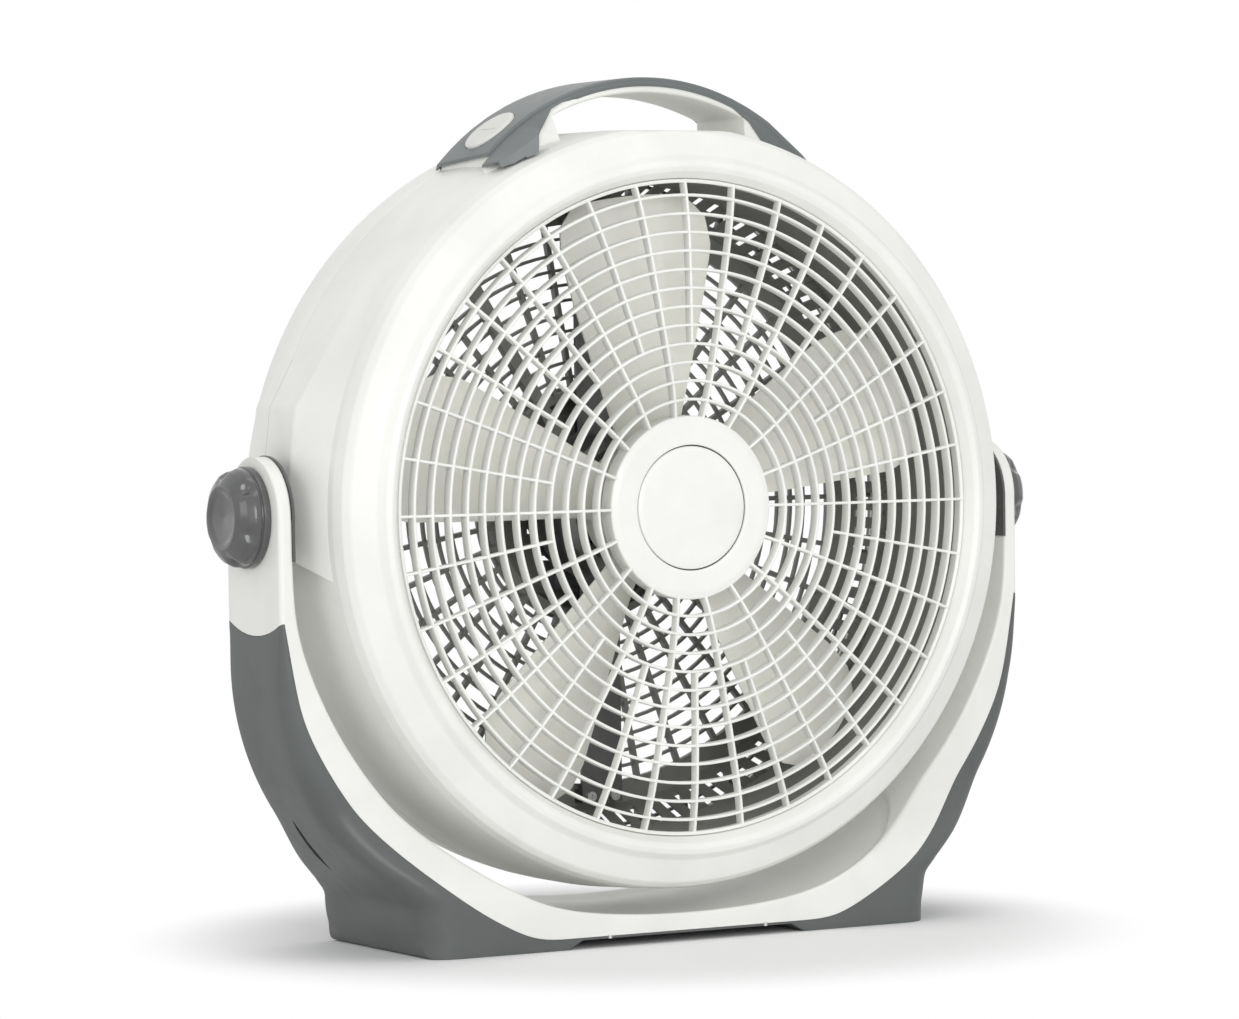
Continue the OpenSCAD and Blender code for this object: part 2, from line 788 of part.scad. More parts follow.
// Drawn-steel bell: a cup with vents and a bearing neck, its open end at y = 0, its nose towards -Y.
module bell() {
    t = 1.8;
    difference() {
        union() {
            rod_y(motor_r, -bell_len + 4, 0);
            rotate([90, 0, 0]) translate([0, 0, bell_len - 4 - 0.01])
                cylinder(r1 = motor_r, r2 = motor_r - 6, h = 4);
            rod_y(bell_neck_r, -bell_len - bell_neck_len + 4, -bell_len + 4);
        }
        rod_y(motor_r - t, t - bell_len + 2, over);
        rod_y(bearing_r, -bell_len - bell_neck_len + 4 + bearing_setback, over);
        rod_y(shaft_r + 1.5, -2 * bell_len, over);
        around(8, 22.5) box([bell_neck_r + 5, -2 * bell_len, -4], [motor_r - 9, -bell_len / 2, 4]);
        rotate([0, -45, 0]) around(4)
            translate([bolt_ring_r, 0, 0]) rotate([90, 0, 0]) cylinder(r = 2.3, h = 60, center = true);
    }
}

module motor_front_bell() {
    color("dimgray") lifted() translate([0, stator_y, 0]) bell();
}

module motor_rear_bell() {
    color("dimgray") lifted() translate([0, bracket_y + bracket_t, 0]) rotate([0, 0, 180]) bell();
}

rotor_r = 24;
air_gap = 0.5;

module stator_core() {
    color("silver") lifted() difference() {
        rod_y(motor_r, stator_y, bracket_y);
        rod_y(rotor_r + air_gap, stator_y - over, bracket_y + over);
        around(4, 0) rod_hole(7);
        at_motor_bolts() cylinder(r = 2.3, h = 3 * stator_len, center = true);
    }
}

module rod_hole(r) {
    translate([rotor_r + 9, stator_y - over, 0]) rotate([-90, 0, 0]) cylinder(r = r, h = stator_len + 2 * over);
}

// Four coils that stand in the core's slots, with their end turns joined by a ring at each side.
module stator_windings() {
    coil_r = 6.6;
    turn_t = 4;
    color("peru") lifted() {
        around(4) translate([rotor_r + 9, stator_y - turn_t, 0]) rotate([-90, 0, 0])
            cylinder(r = coil_r, h = stator_len);
        lathe() translate([rotor_r + 3, stator_y - turn_t - 2]) square([8, turn_t + 2]);
    }
}

// Ball bearing: two races and the ring of balls between them, as one solid.
module bearing(y0) {
    lathe() difference() {
        translate([shaft_r, y0]) square([bearing_r - shaft_r, bearing_len]);
        translate([(shaft_r + bearing_r) / 2 - 0.8, y0 - over]) square([1.6, 1.6]);
        translate([(shaft_r + bearing_r) / 2 - 0.8, y0 + bearing_len - 0.6]) square([1.6, 1.6]);
    }
}

front_bearing_y = stator_y - bell_len - bell_neck_len + 4 + bearing_setback;
rear_bearing_y = bracket_y + bracket_t + bell_len + bell_neck_len - 4 - bearing_setback - bearing_len;

module front_bearing() {
    color("silver") lifted() difference() {
        bearing(front_bearing_y);
        rod_y(shaft_r + run_fit, front_bearing_y - over, front_bearing_y + bearing_len + over);
    }
}

module rear_bearing() {
    color("silver") lifted() difference() {
        bearing(rear_bearing_y);
        rod_y(shaft_r + run_fit, rear_bearing_y - over, rear_bearing_y + bearing_len + over);
    }
}

module motor_bolts() {
    y0 = stator_y - bell_len;
    y1 = bracket_y + bracket_t + bell_len;
    color("silver") lifted() rotate([0, -45, 0]) around(4)
        translate([bolt_ring_r, 0, 0]) {
            rod_y(2, y0 - 3, y1 + 3);
            translate([0, y0 - 3, 0]) rotate([-90, 0, 0]) hex(7, 3);
        }
}

module motor_cap() {
    color("dimgray") lifted() difference() {
        lathe() polygon([
            [centre_r + centre_rim + 2, rear_field_y + rear_rib_h + 3],
            [centre_r + centre_rim + 2, rear_field_y + rear_rib_h + 5.4],
            [centre_r, rear_field_y + rear_rib_h + 6], [centre_r - 3, cap_back_y - 6],
            [centre_r - 6, cap_back_y - 2], [centre_r - 12, cap_back_y], [0, cap_back_y],
            [0, cap_back_y - cap_t], [centre_r - 13, cap_back_y - cap_t],
            [centre_r - 5.6 - cap_t, cap_back_y - 6.6],
            [centre_r - cap_t, rear_field_y + rear_rib_h + 3]]);
        for (k = [-4 : 4]) box([-40 + abs(k) * 4, cap_back_y - 2 * cap_t, k * 9 - 1.5],
                               [40 - abs(k) * 4, cap_back_y + over, k * 9 + 1.5]);
        translate([0, cord_y, 0]) rotate([180, 0, 0]) cylinder(r = 5, h = centre_r + 10);
    }
}

cord_y = cap_back_y - 14;

// Rubber bush where the mains cord enters the cap; it has a groove that the cap's wall sits in.
module cord_bush() {
    color("black") lifted() translate([0, cord_y, 0]) rotate([180, 0, 0]) difference() {
        union() {
            translate([0, 0, centre_r - 8]) cylinder(r = 4.9, h = 14);
            translate([0, 0, centre_r + 1]) cylinder(r1 = 7.5, r2 = 5, h = 12);
        }
        cylinder(r = 3.2, h = 2 * centre_r);
    }
}

module run_capacitor() {
    y0 = shaft_back_y + 1.5;
    color("gray") lifted() box([-18, y0, -56], [18, cap_back_y - cap_t - 1, -38]);
}

// ---- Control ----

module speed_switch() {
    color("black") lifted() at_dial() difference() {
        translate([0, 0, -2 * cover_t - switch_len - 2]) cylinder(r = switch_r, h = switch_len);
        translate([0, 0, -2 * cover_t - spindle_len]) cylinder(r = spindle_r + run_fit, h = 3 * spindle_len);
    }
}

module speed_dial() {
    color("gainsboro") lifted() at_dial() difference() {
        translate([0, 0, dial_proud - dial_t]) cylinder(r = dial_r, h = dial_t);
        translate([0, 0, -dial_t]) cylinder(r = spindle_r, h = dial_t - 1);
    }
}

module dial_spindle() {
    color("silver") lifted() at_dial() translate([0, 0, -2 * cover_t - spindle_len + 1])
        cylinder(r = spindle_r, h = 2 * cover_t + spindle_len - 2);
}

// Lead from the switch, behind the duct and down the channel to the motor, in straight runs.
lead_low = -2 * cover_t - switch_len - 2;
switch_foot = [dial_x, 0, arc_z + sqrt(pow(handle_arc_r, 2) - pow(dial_x, 2))]
              + (lead_low - lead_r - fix_fit) * [sin(dial_a), 0, cos(dial_a)];
function on_channel(r) = [r * cos(channel_a), lead_y, r * sin(channel_a)];
lead_route = [switch_foot, [switch_foot[0], cone_back_y - 22, switch_foot[2]],
              on_channel(mouth_r + 16), on_channel(motor_r + 10)];

module run(a, b) {
    v = b - a;
    translate(a) rotate([0, acos(v[2] / norm(v)), atan2(v[1], v[0])]) cylinder(r = lead_r, h = norm(v));
}

module switch_lead() {
    $fn = 32;
    color("white") lifted() {
        for (i = [0 : len(lead_route) - 2]) run(lead_route[i], lead_route[i + 1]);
        for (i = [1 : len(lead_route) - 2]) translate(lead_route[i]) sphere(lead_r);
    }
}

// ---- Small hardware ----

module shell_screws() {
    color("silver") lifted() at_shell_screws()
        translate([0, 0, screw_seat_y]) screw(screw_seat_y - seam_y + boss_len - 6);
}

module rear_grille_screws() {
    color("silver") lifted() rear_screw_places()
        translate([0, 0, 3 + fix_fit]) screw(3 + flange_t + 3);
}

module pivot_nuts() {
    color("silver") lifted() both_sides() translate([nut_x + fix_fit, 0, 0]) rotate([0, 90, 0])
        difference() {
            hex(nut_af, nut_t);
            translate([0, 0, -over]) cylinder(r = stud_r + run_fit, h = nut_t + 2 * over);
        }
}

module friction_washers() {
    color("black") lifted() both_sides() difference() {
        rod_x(bush_flange_r, pod_x, arm_in_x - bush_flange_t - 0.1);
        rod_x(stud_r + 4 * fix_fit, pod_x - over, arm_in_x);
    }
}

// ---- Fan ----

// One blade seen from the front: a broad petal that widens towards its rounded tip.
module blade_2d() {
    root_w = 44;
    difference() {
        intersection() {
            circle(blade_tip_r);
            polygon([
                [blade_hub_r - 6, -root_w * 0.45], [blade_hub_r - 6, root_w * 0.45],
                [0.55 * blade_tip_r, root_w * 0.95], [0.86 * blade_tip_r, root_w * 1.15],
                [blade_tip_r * 1.02, root_w * 0.95], [blade_tip_r * 1.02, -root_w * 1.05],
                [0.86 * blade_tip_r, -root_w * 1.05], [0.55 * blade_tip_r, -root_w * 0.8]]);
        }
        circle(blade_hub_r - hub_wall / 2);
    }
}

// The blade's cambered sheet: part of a large tube that lies along the blade, pitched.
module blade_sheet() {
    mid_y = (hub_front_y + hub_back_y) / 2 - 3;
    translate([0, mid_y, 0]) rotate([blade_pitch, 0, 0]) translate([0, camber_r, 0]) difference() {
        rod_x(camber_r + blade_t / 2, 0, 2 * blade_tip_r);
        rod_x(camber_r - blade_t / 2, -over, 2 * blade_tip_r + over);
    }
}

module fan_blade() {
    color("ivory") lifted() difference() {
        union() {
            around(blade_n, 23) intersection() {
                slab(hub_front_y - 12, hub_back_y + 4) blade_2d();
                blade_sheet();
            }
            lathe() polygon([
                [0, hub_front_y], [blade_hub_r - 4, hub_front_y], [blade_hub_r, hub_front_y + 4],
                [blade_hub_r, hub_back_y], [blade_hub_r - hub_wall, hub_back_y],
                [blade_hub_r - hub_wall, hub_front_y + hub_wall + 2],
                [11, hub_front_y + hub_wall + 2], [11, hub_back_y], [0, hub_back_y]]);
        }
        rod_y(shaft_r, hub_front_y - over, hub_back_y + over);
    }
}

module motor_shaft() {
    color("silver") lifted() rod_y(shaft_r, shaft_front_y, shaft_back_y);
}

module rotor_core() {
    color("gray") lifted() difference() {
        rod_y(rotor_r, stator_y - 1, bracket_y + 1);
        rod_y(shaft_r, stator_y - 2, bracket_y + 2);
    }
}

module blade_nut() {
    color("ivory") lifted() difference() {
        union() {
            rod_y(11, hub_front_y - nut_h, hub_front_y);
            for (a = [0, 90]) rotate([0, a, 0])
                box([-17, hub_front_y - nut_h, -2.5], [17, hub_front_y - 1, 2.5]);
        }
        rod_y(shaft_r, shaft_front_y - over, hub_front_y + over);
    }
}

// ---- Tilt knobs ----

scallop_n = 6;

module knob() {
    base_x = arm_out_x + 0.1;
    stud_end_x = base_x + 0.6 * knob_h;
    difference() {
        rotate([0, 90, 0]) rotate_extrude() polygon([
            [0, base_x], [knob_r, base_x], [knob_r, base_x + 2.5], [knob_r - 1, base_x + 3.4],
            [knob_r - 2, base_x + 0.55 * knob_h], [knob_r - 6, base_x + 0.8 * knob_h],
            [knob_r - 14, base_x + 0.95 * knob_h], [0, base_x + knob_h]]);
        for (i = [0 : scallop_n - 1]) rotate([i * 360 / scallop_n, 0, 0])
            translate([base_x + 4, knob_r + 7, 0]) rotate([0, 90, 0]) cylinder(r = 11, h = knob_h);
        rod_x(stud_r, base_x - over, stud_end_x);
    }
}

module stud() {
    rod_x(stud_r, nut_x - 2, arm_out_x + 0.1 + 0.6 * knob_h);
}

module tilt_knob_left() {
    color("dimgray") lifted() mirror([1, 0, 0]) knob();
}

module tilt_knob_right() {
    color("dimgray") lifted() knob();
}

module knob_stud_left() {
    color("silver") lifted() mirror([1, 0, 0]) stud();
}

module knob_stud_right() {
    color("silver") lifted() stud();
}

base_cradle();
base_wrap();
foot_pads();
base_screws();
arm_bushes();
front_shell();
rear_shell();
handle_grip();
handle_cover();
front_grille();
hub_cap();
air_duct();
rear_grille();
motor_bracket();
wire_channel();
motor_front_bell();
motor_rear_bell();
stator_core();
stator_windings();
front_bearing();
rear_bearing();
motor_bolts();
motor_cap();
run_capacitor();
speed_switch();
switch_lead();
shell_screws();
rear_grille_screws();
bracket_screws();
pivot_nuts();
friction_washers();
cord_bush();
fan_blade();
motor_shaft();
rotor_core();
blade_nut();
speed_dial();
dial_spindle();
tilt_knob_left();
tilt_knob_right();
knob_stud_left();
knob_stud_right();
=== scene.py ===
import json
import math

import bmesh
import bpy
import numpy as np
from bpy.props import FloatProperty, FloatVectorProperty, IntProperty, PointerProperty
from mathutils import Matrix, Vector


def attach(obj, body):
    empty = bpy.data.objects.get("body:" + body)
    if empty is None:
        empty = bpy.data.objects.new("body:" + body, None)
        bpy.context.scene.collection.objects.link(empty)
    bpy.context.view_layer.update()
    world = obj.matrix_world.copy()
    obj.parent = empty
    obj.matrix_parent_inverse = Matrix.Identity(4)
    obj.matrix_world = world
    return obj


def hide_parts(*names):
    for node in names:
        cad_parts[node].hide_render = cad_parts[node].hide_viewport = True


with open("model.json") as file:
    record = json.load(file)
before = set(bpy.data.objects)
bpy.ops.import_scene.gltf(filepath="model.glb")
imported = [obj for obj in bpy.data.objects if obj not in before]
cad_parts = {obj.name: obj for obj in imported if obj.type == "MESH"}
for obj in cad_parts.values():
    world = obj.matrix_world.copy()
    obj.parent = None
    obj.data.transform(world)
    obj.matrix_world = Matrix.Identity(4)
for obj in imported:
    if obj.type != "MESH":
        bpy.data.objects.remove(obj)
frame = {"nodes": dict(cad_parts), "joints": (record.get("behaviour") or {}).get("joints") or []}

bl_info = {
    "name": "Cradled floor fan",
    "version": (1, 0, 0),
    "blender": (4, 5, 0),
    "location": "3D View > Sidebar > Floor fan",
    "description": "Detailed pieces and finishes for a tilting floor fan",
    "category": "Add Mesh",
}

MM = 0.001
TILT = next(j for j in frame["joints"] if j["name"] == "head_tilt")
PIVOT = Vector(TILT["pos_m"])
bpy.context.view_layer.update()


# ---- Sizes and colours a user would change ----

class FLOORFAN_PG_sizes(bpy.types.PropertyGroup):
    ring_width: FloatProperty(
        name="Ring width", description="Width of each ring of the front grille",
        unit="LENGTH", min=0.001, max=0.004, default=0.0019)
    spoke_width: FloatProperty(
        name="Spoke width", description="Width of each spoke of the front grille",
        unit="LENGTH", min=0.001, max=0.004, default=0.0019)
    blade_thickness: FloatProperty(
        name="Blade thickness", description="Thickness of a blade along its middle",
        unit="LENGTH", min=0.001, max=0.004, default=0.0023)
    knob_hollows: IntProperty(
        name="Knob hollows", description="Number of finger hollows round a tilt knob",
        min=0, max=12, default=6)
    mark_width: FloatProperty(
        name="Dial mark width", description="Width of the raised mark across the speed dial",
        unit="LENGTH", min=0.0005, max=0.004, default=0.001)


class FLOORFAN_PG_colours(bpy.types.PropertyGroup):
    white: FloatVectorProperty(
        name="Shell white", description="White of the head, the cradle and the front grille",
        subtype="COLOR", size=3, min=0, max=1, default=(0.86, 0.865, 0.83))
    blade: FloatVectorProperty(
        name="Blade cream", description="Cream of the blades and their hub",
        subtype="COLOR", size=3, min=0, max=1, default=(0.93, 0.925, 0.86))
    # This grey also paints the shade in the seam between the two head shells.
    trim: FloatVectorProperty(
        name="Trim grey", description="Grey of the base wrap and the feet",
        subtype="COLOR", size=3, min=0, max=1, default=(0.108, 0.117, 0.115))
    cover: FloatVectorProperty(
        name="Cover grey", description="Grey of the handle cover",
        subtype="COLOR", size=3, min=0, max=1, default=(0.15, 0.165, 0.165))
    # The friction rims in this grey also paint the shade in the gap between each pod and its arm.
    knob: FloatVectorProperty(
        name="Knob grey", description="Grey of the tilt knobs and the friction rims",
        subtype="COLOR", size=3, min=0, max=1, default=(0.085, 0.088, 0.086))
    inside: FloatVectorProperty(
        name="Inner grey", description="Dark grey of the duct, the rear grille and the motor cover",
        subtype="COLOR", size=3, min=0, max=1, default=(0.24, 0.245, 0.225))


class FLOORFAN_PG_stage(bpy.types.PropertyGroup):
    azimuth: FloatProperty(
        name="Azimuth", description="Angle of the camera round the fan",
        subtype="ANGLE", default=math.radians(-29.93))
    elevation: FloatProperty(
        name="Elevation", description="Angle of the camera above the horizon",
        subtype="ANGLE", default=math.radians(1.75))
    roll: FloatProperty(
        name="Roll", description="Roll of the camera about its own line of sight",
        subtype="ANGLE", default=math.radians(-0.86))
    distance: FloatProperty(
        name="Distance", description="Distance from the camera to the tilt axis",
        unit="LENGTH", default=3.321)
    aim: FloatVectorProperty(
        name="Aim", description="Where the tilt axis's middle stands from the line of sight",
        size=2, unit="LENGTH", default=(0.00692, 0.00268))
    lens: FloatProperty(
        name="Focal length", description="Focal length of the camera in millimetres",
        min=1, default=148.06)
    key: FloatProperty(
        name="Key light", description="Power of the large lamp above the front left",
        unit="POWER", default=35)
    sky: FloatProperty(
        name="Sky light", description="Strength of the even light from all round",
        min=0, default=0.65)


# ---- Shader maths: sockets that Python's own operators work on ----

class Wire:
    """A number or a colour on its way through a material's nodes."""

    def __init__(self, graph, socket):
        self.graph = graph
        self.socket = socket

    def _math(self, operation, *values):
        return self.graph.add("ShaderNodeMath", {"operation": operation},
                              dict(enumerate(values)))

    def __add__(self, other):
        return self._math("ADD", self, other)

    def __radd__(self, other):
        return self._math("ADD", other, self)

    def __sub__(self, other):
        return self._math("SUBTRACT", self, other)

    def __rsub__(self, other):
        return self._math("SUBTRACT", other, self)

    def __mul__(self, other):
        return self._math("MULTIPLY", self, other)

    def __rmul__(self, other):
        return self._math("MULTIPLY", other, self)

    def most(self, other):
        return self._math("MAXIMUM", self, other)

    def ramp(self, low, high):
        """This number carried from the given range to 0 to 1, with soft ends that never pass it."""
        return self.graph.add("ShaderNodeMapRange", {"interpolation_type": "SMOOTHSTEP"},
                              {"Value": self, "From Min": low, "From Max": high})


class Graph:
    """The nodes of a material or of the world, which are all added by one method."""

    def __init__(self, tree):
        self.tree = tree

    def add(self, kind, settings=None, inputs=None, out=0):
        """Adds a node, sets its settings and then its sockets, and returns one of its outputs."""
        node = self.tree.nodes.new(kind)
        for key, value in (settings or {}).items():
            setattr(node, key, value)
        for key, value in (inputs or {}).items():
            if isinstance(value, Wire):
                self.tree.links.new(value.socket, node.inputs[key])
            else:
                node.inputs[key].default_value = value
        return Wire(self, node.outputs[out])

    def show(self, shader, output):
        """Links a finished shader to the output node that the tree came with."""
        self.tree.links.new(shader.socket, self.tree.nodes[output].inputs["Surface"])


class Finish(Graph):
    """A material in the making: its nodes, its surface shader and the helpers that wire them."""

    def __init__(self, name, colour, roughness, slot, **constants):
        self.material = bpy.data.materials.new(name)
        self.material.use_nodes = True
        super().__init__(self.material.node_tree)
        self.surface = self.tree.nodes["Principled BSDF"]
        self.slot = slot
        self.surface.inputs["Base Color"].default_value = (*colour, 1)
        self.surface.inputs["Roughness"].default_value = roughness
        for name, value in constants.items():
            self.surface.inputs[name.replace("_", " ")].default_value = value
        self.material.diffuse_color = (*colour, 1)

    def place(self):
        """Where the shaded point is on the piece at rest, in metres."""
        return self.add("ShaderNodeTexCoord", out="Object")

    def parts(self):
        """The same place as three numbers."""
        place = self.place()
        return [self.add("ShaderNodeSeparateXYZ", None, {0: place}, axis) for axis in "XYZ"]

    def noise(self, scale, detail=2.0, roughness=0.5, distortion=0.0, stretch=None):
        vector = self.place()
        if stretch:
            vector = self.add("ShaderNodeVectorMath", {"operation": "MULTIPLY"},
                              {0: vector, 1: stretch})
        return self.add("ShaderNodeTexNoise", None, {
            "Vector": vector, "Scale": scale, "Detail": detail,
            "Roughness": roughness, "Distortion": distortion})

    def cells(self, scale):
        return self.add("ShaderNodeTexVoronoi", None, {"Vector": self.place(), "Scale": scale})

    def blend(self, amount, first, second):
        """Mixes two colours, each a triple."""
        return self.add("ShaderNodeMix", {"data_type": "RGBA"},
                        {0: amount, 6: (*first, 1), 7: (*second, 1)}, out=2)

    def paint(self, **wires):
        """Links finished numbers or colours to the surface's own sockets."""
        for name, wire in wires.items():
            self.tree.links.new(wire.socket, self.surface.inputs[name.replace("_", " ")])

    def relief(self, height, depth):
        """Raises the surface by a height field; depth is in metres."""
        self.paint(Normal=self.add("ShaderNodeBump", None, {"Height": height, "Distance": depth}))

    def cover(self, *objects):
        for obj in objects:
            obj.data.materials.clear()
            obj.data.materials.append(self.material)


FINISHES = {}


def shade(colour, factor):
    return tuple(min(1.0, c * factor) for c in colour)


def moulded(name, colour, roughness, slot, grain=0.00004, tone=0.05, **constants):
    """Injection-moulded plastic: a fine spark-eroded grain, faint flow tone and handling sheen."""
    finish = Finish(name, colour, roughness, slot, **constants)
    flow = finish.noise(14, 4, 0.55, 0.4).ramp(0.3, 0.7)
    fine = finish.noise(1900, 3, 0.6)
    speck = finish.cells(1500)
    wear = finish.noise(60, 5, 0.65).ramp(0.45, 0.8)
    finish.paint(
        Base_Color=finish.blend(flow, shade(colour, 1 - tone), shade(colour, 1 + tone * 0.4)),
        Roughness=roughness + (wear - 0.5) * 0.08 + (fine - 0.5) * 0.06)
    finish.relief(fine * 0.7 + speck * 0.3, grain)
    return finish


def metal(name, colour, roughness, slot, brushed):
    """Steel or copper with lines drawn along an axis, faint stains and a varying polish."""
    finish = Finish(name, colour, roughness, slot, Metallic=1.0)
    lines = finish.noise(900, 3, 0.6, stretch=brushed)
    stain = finish.noise(35, 5, 0.6).ramp(0.35, 0.75)
    finish.paint(
        Base_Color=finish.blend(stain, colour, shade(colour, 0.88)),
        Roughness=roughness + stain * 0.12 + (lines - 0.5) * 0.15)
    finish.relief(lines, 0.00003)
    return finish


def make_finishes(colours):
    """Fills FINISHES: the plastics and rubber first, then the metals."""
    white, trim, cover = tuple(colours.white), tuple(colours.trim), tuple(colours.cover)
    pale = shade(white, 1.03)
    black = (0.03, 0.03, 0.03)
    for key, name, colour, roughness, slot, more in (
            ("white", "shell white", white, 0.42, "white_plastic", {}),
            ("cream", "blade cream", tuple(colours.blade), 0.38, "blade_plastic",
             {"grain": 0.00002}),
            ("trim", "trim grey", trim, 0.46, "gray_plastic", {"tone": 0.08}),
            ("cover", "cover grey", cover, 0.42, "gray_plastic", {"tone": 0.08}),
            ("knob", "knob grey", tuple(colours.knob), 0.25, "knob_plastic",
             {"grain": 0.00001, "tone": 0.08, "Coat_Weight": 0.35, "Coat_Roughness": 0.12}),
            ("grille", "grille white", pale, 0.36, "grille_plastic", {"grain": 0.00001}),
            ("cap", "cap white", pale, 0.16, "cap_plastic",
             {"grain": 0.000004, "Coat_Weight": 0.5, "Coat_Roughness": 0.05}),
            ("dial", "dial white", shade(white, 0.85), 0.4, "dial_plastic", {}),
            ("dark", "inner grey", tuple(colours.inside), 0.5, "dark_plastic", {"tone": 0.12}),
            # This black also paints the shade in the groove round the hub cap.
            ("switch", "switch black", black, 0.4, "switch_plastic", {}),
            ("nylon", "bush nylon", (0.75, 0.74, 0.68), 0.45, "bush_nylon", {}),
            ("rubber", "pad rubber", black, 0.8, "pad_rubber", {"grain": 0.0001}),
            ("lead", "lead jacket", (0.7, 0.7, 0.68), 0.5, "lead_jacket", {}),
            ("can", "capacitor case", (0.18, 0.18, 0.2), 0.35, "capacitor_case", {})):
        FINISHES[key] = moulded(name, colour, roughness, slot, **more)
    for key, name, colour, roughness, slot, brushed in (
            ("strap", "bracket steel", (0.16, 0.16, 0.16), 0.4, "bracket_steel", (1, 1, 30)),
            ("bell", "motor steel", (0.28, 0.28, 0.28), 0.38, "motor_steel", (1, 1, 1)),
            ("core", "core steel", (0.3, 0.3, 0.31), 0.5, "core_steel", (1, 40, 1)),
            ("copper", "winding copper", (0.72, 0.36, 0.2), 0.35, "winding_copper", (1, 40, 1)),
            ("bright", "bright steel", (0.6, 0.6, 0.6), 0.25, "bright_steel", (1, 1, 1)),
            ("zinc", "zinc steel", (0.62, 0.62, 0.6), 0.32, "zinc_steel", (1, 1, 1))):
        FINISHES[key] = metal(name, colour, roughness, slot, brushed)


# Which finish each node gets, whether or not a detailed piece stands for it.
NODE_FINISH = {
    "white": ["base_cradle", "front_shell", "rear_shell", "handle_grip"],
    "trim": ["base_wrap"],
    "cover": ["handle_cover"],
    "grille": ["front_grille"],
    "cap": ["hub_cap"],
    "cream": ["fan_blade", "blade_nut"],
    "dark": ["air_duct", "rear_grille", "wire_channel", "motor_cap"],
    "dial": ["speed_dial"],
    "knob": ["tilt_knob_left", "tilt_knob_right"],
    "switch": ["speed_switch", "cord_bush"],
    "nylon": ["arm_bushes"],
    "rubber": ["foot_pads", "friction_washers"],
    "lead": ["switch_lead"],
    "can": ["run_capacitor"],
    "strap": ["motor_bracket"],
    "bell": ["motor_front_bell", "motor_rear_bell"],
    "core": ["stator_core", "rotor_core"],
    "copper": ["stator_windings"],
    "bright": ["motor_shaft", "front_bearing", "rear_bearing", "dial_spindle", "knob_stud_left",
               "knob_stud_right"],
    "zinc": ["base_screws", "motor_bolts", "shell_screws", "rear_grille_screws",
             "bracket_screws", "pivot_nuts"],
}


# ---- Mesh helpers: everything is worked out in millimetres about the middle of the tilt axis ----

def rounded(corners, closed=True, steps=4):
    """An outline from corners (a, b) or (a, b, radius); each radius is kept short of its neighbours."""
    points = []
    count = len(corners)
    for i, corner in enumerate(corners):
        here = np.array(corner[:2], float)
        radius = corner[2] if len(corner) > 2 else 0
        if radius <= 0 or (not closed and i in (0, count - 1)):
            points.append(here)
            continue
        before = np.array(corners[i - 1][:2], float) - here
        after = np.array(corners[(i + 1) % count][:2], float) - here
        lengths = np.linalg.norm(before), np.linalg.norm(after)
        u, v = before / lengths[0], after / lengths[1]
        half = math.acos(max(-1, min(1, float(u @ v)))) / 2
        back = min(radius / math.tan(half), 0.48 * min(lengths)) if half < 1.55 else 0
        if back <= 0:
            points.append(here)
            continue
        for k in range(steps + 1):
            t = k / steps
            points.append(here + (1 - t) ** 2 * back * u + t ** 2 * back * v)
    return np.array(points)


def evenly(points, count):
    """The same open outline as a fixed number of points, evenly spaced along it."""
    points = np.asarray(points, float)
    along = np.concatenate([[0], np.cumsum(np.linalg.norm(np.diff(points, axis=0), axis=1))])
    wanted = np.linspace(0, along[-1], count)
    return np.stack([np.interp(wanted, along, points[:, 0]),
                     np.interp(wanted, along, points[:, 1])], 1)


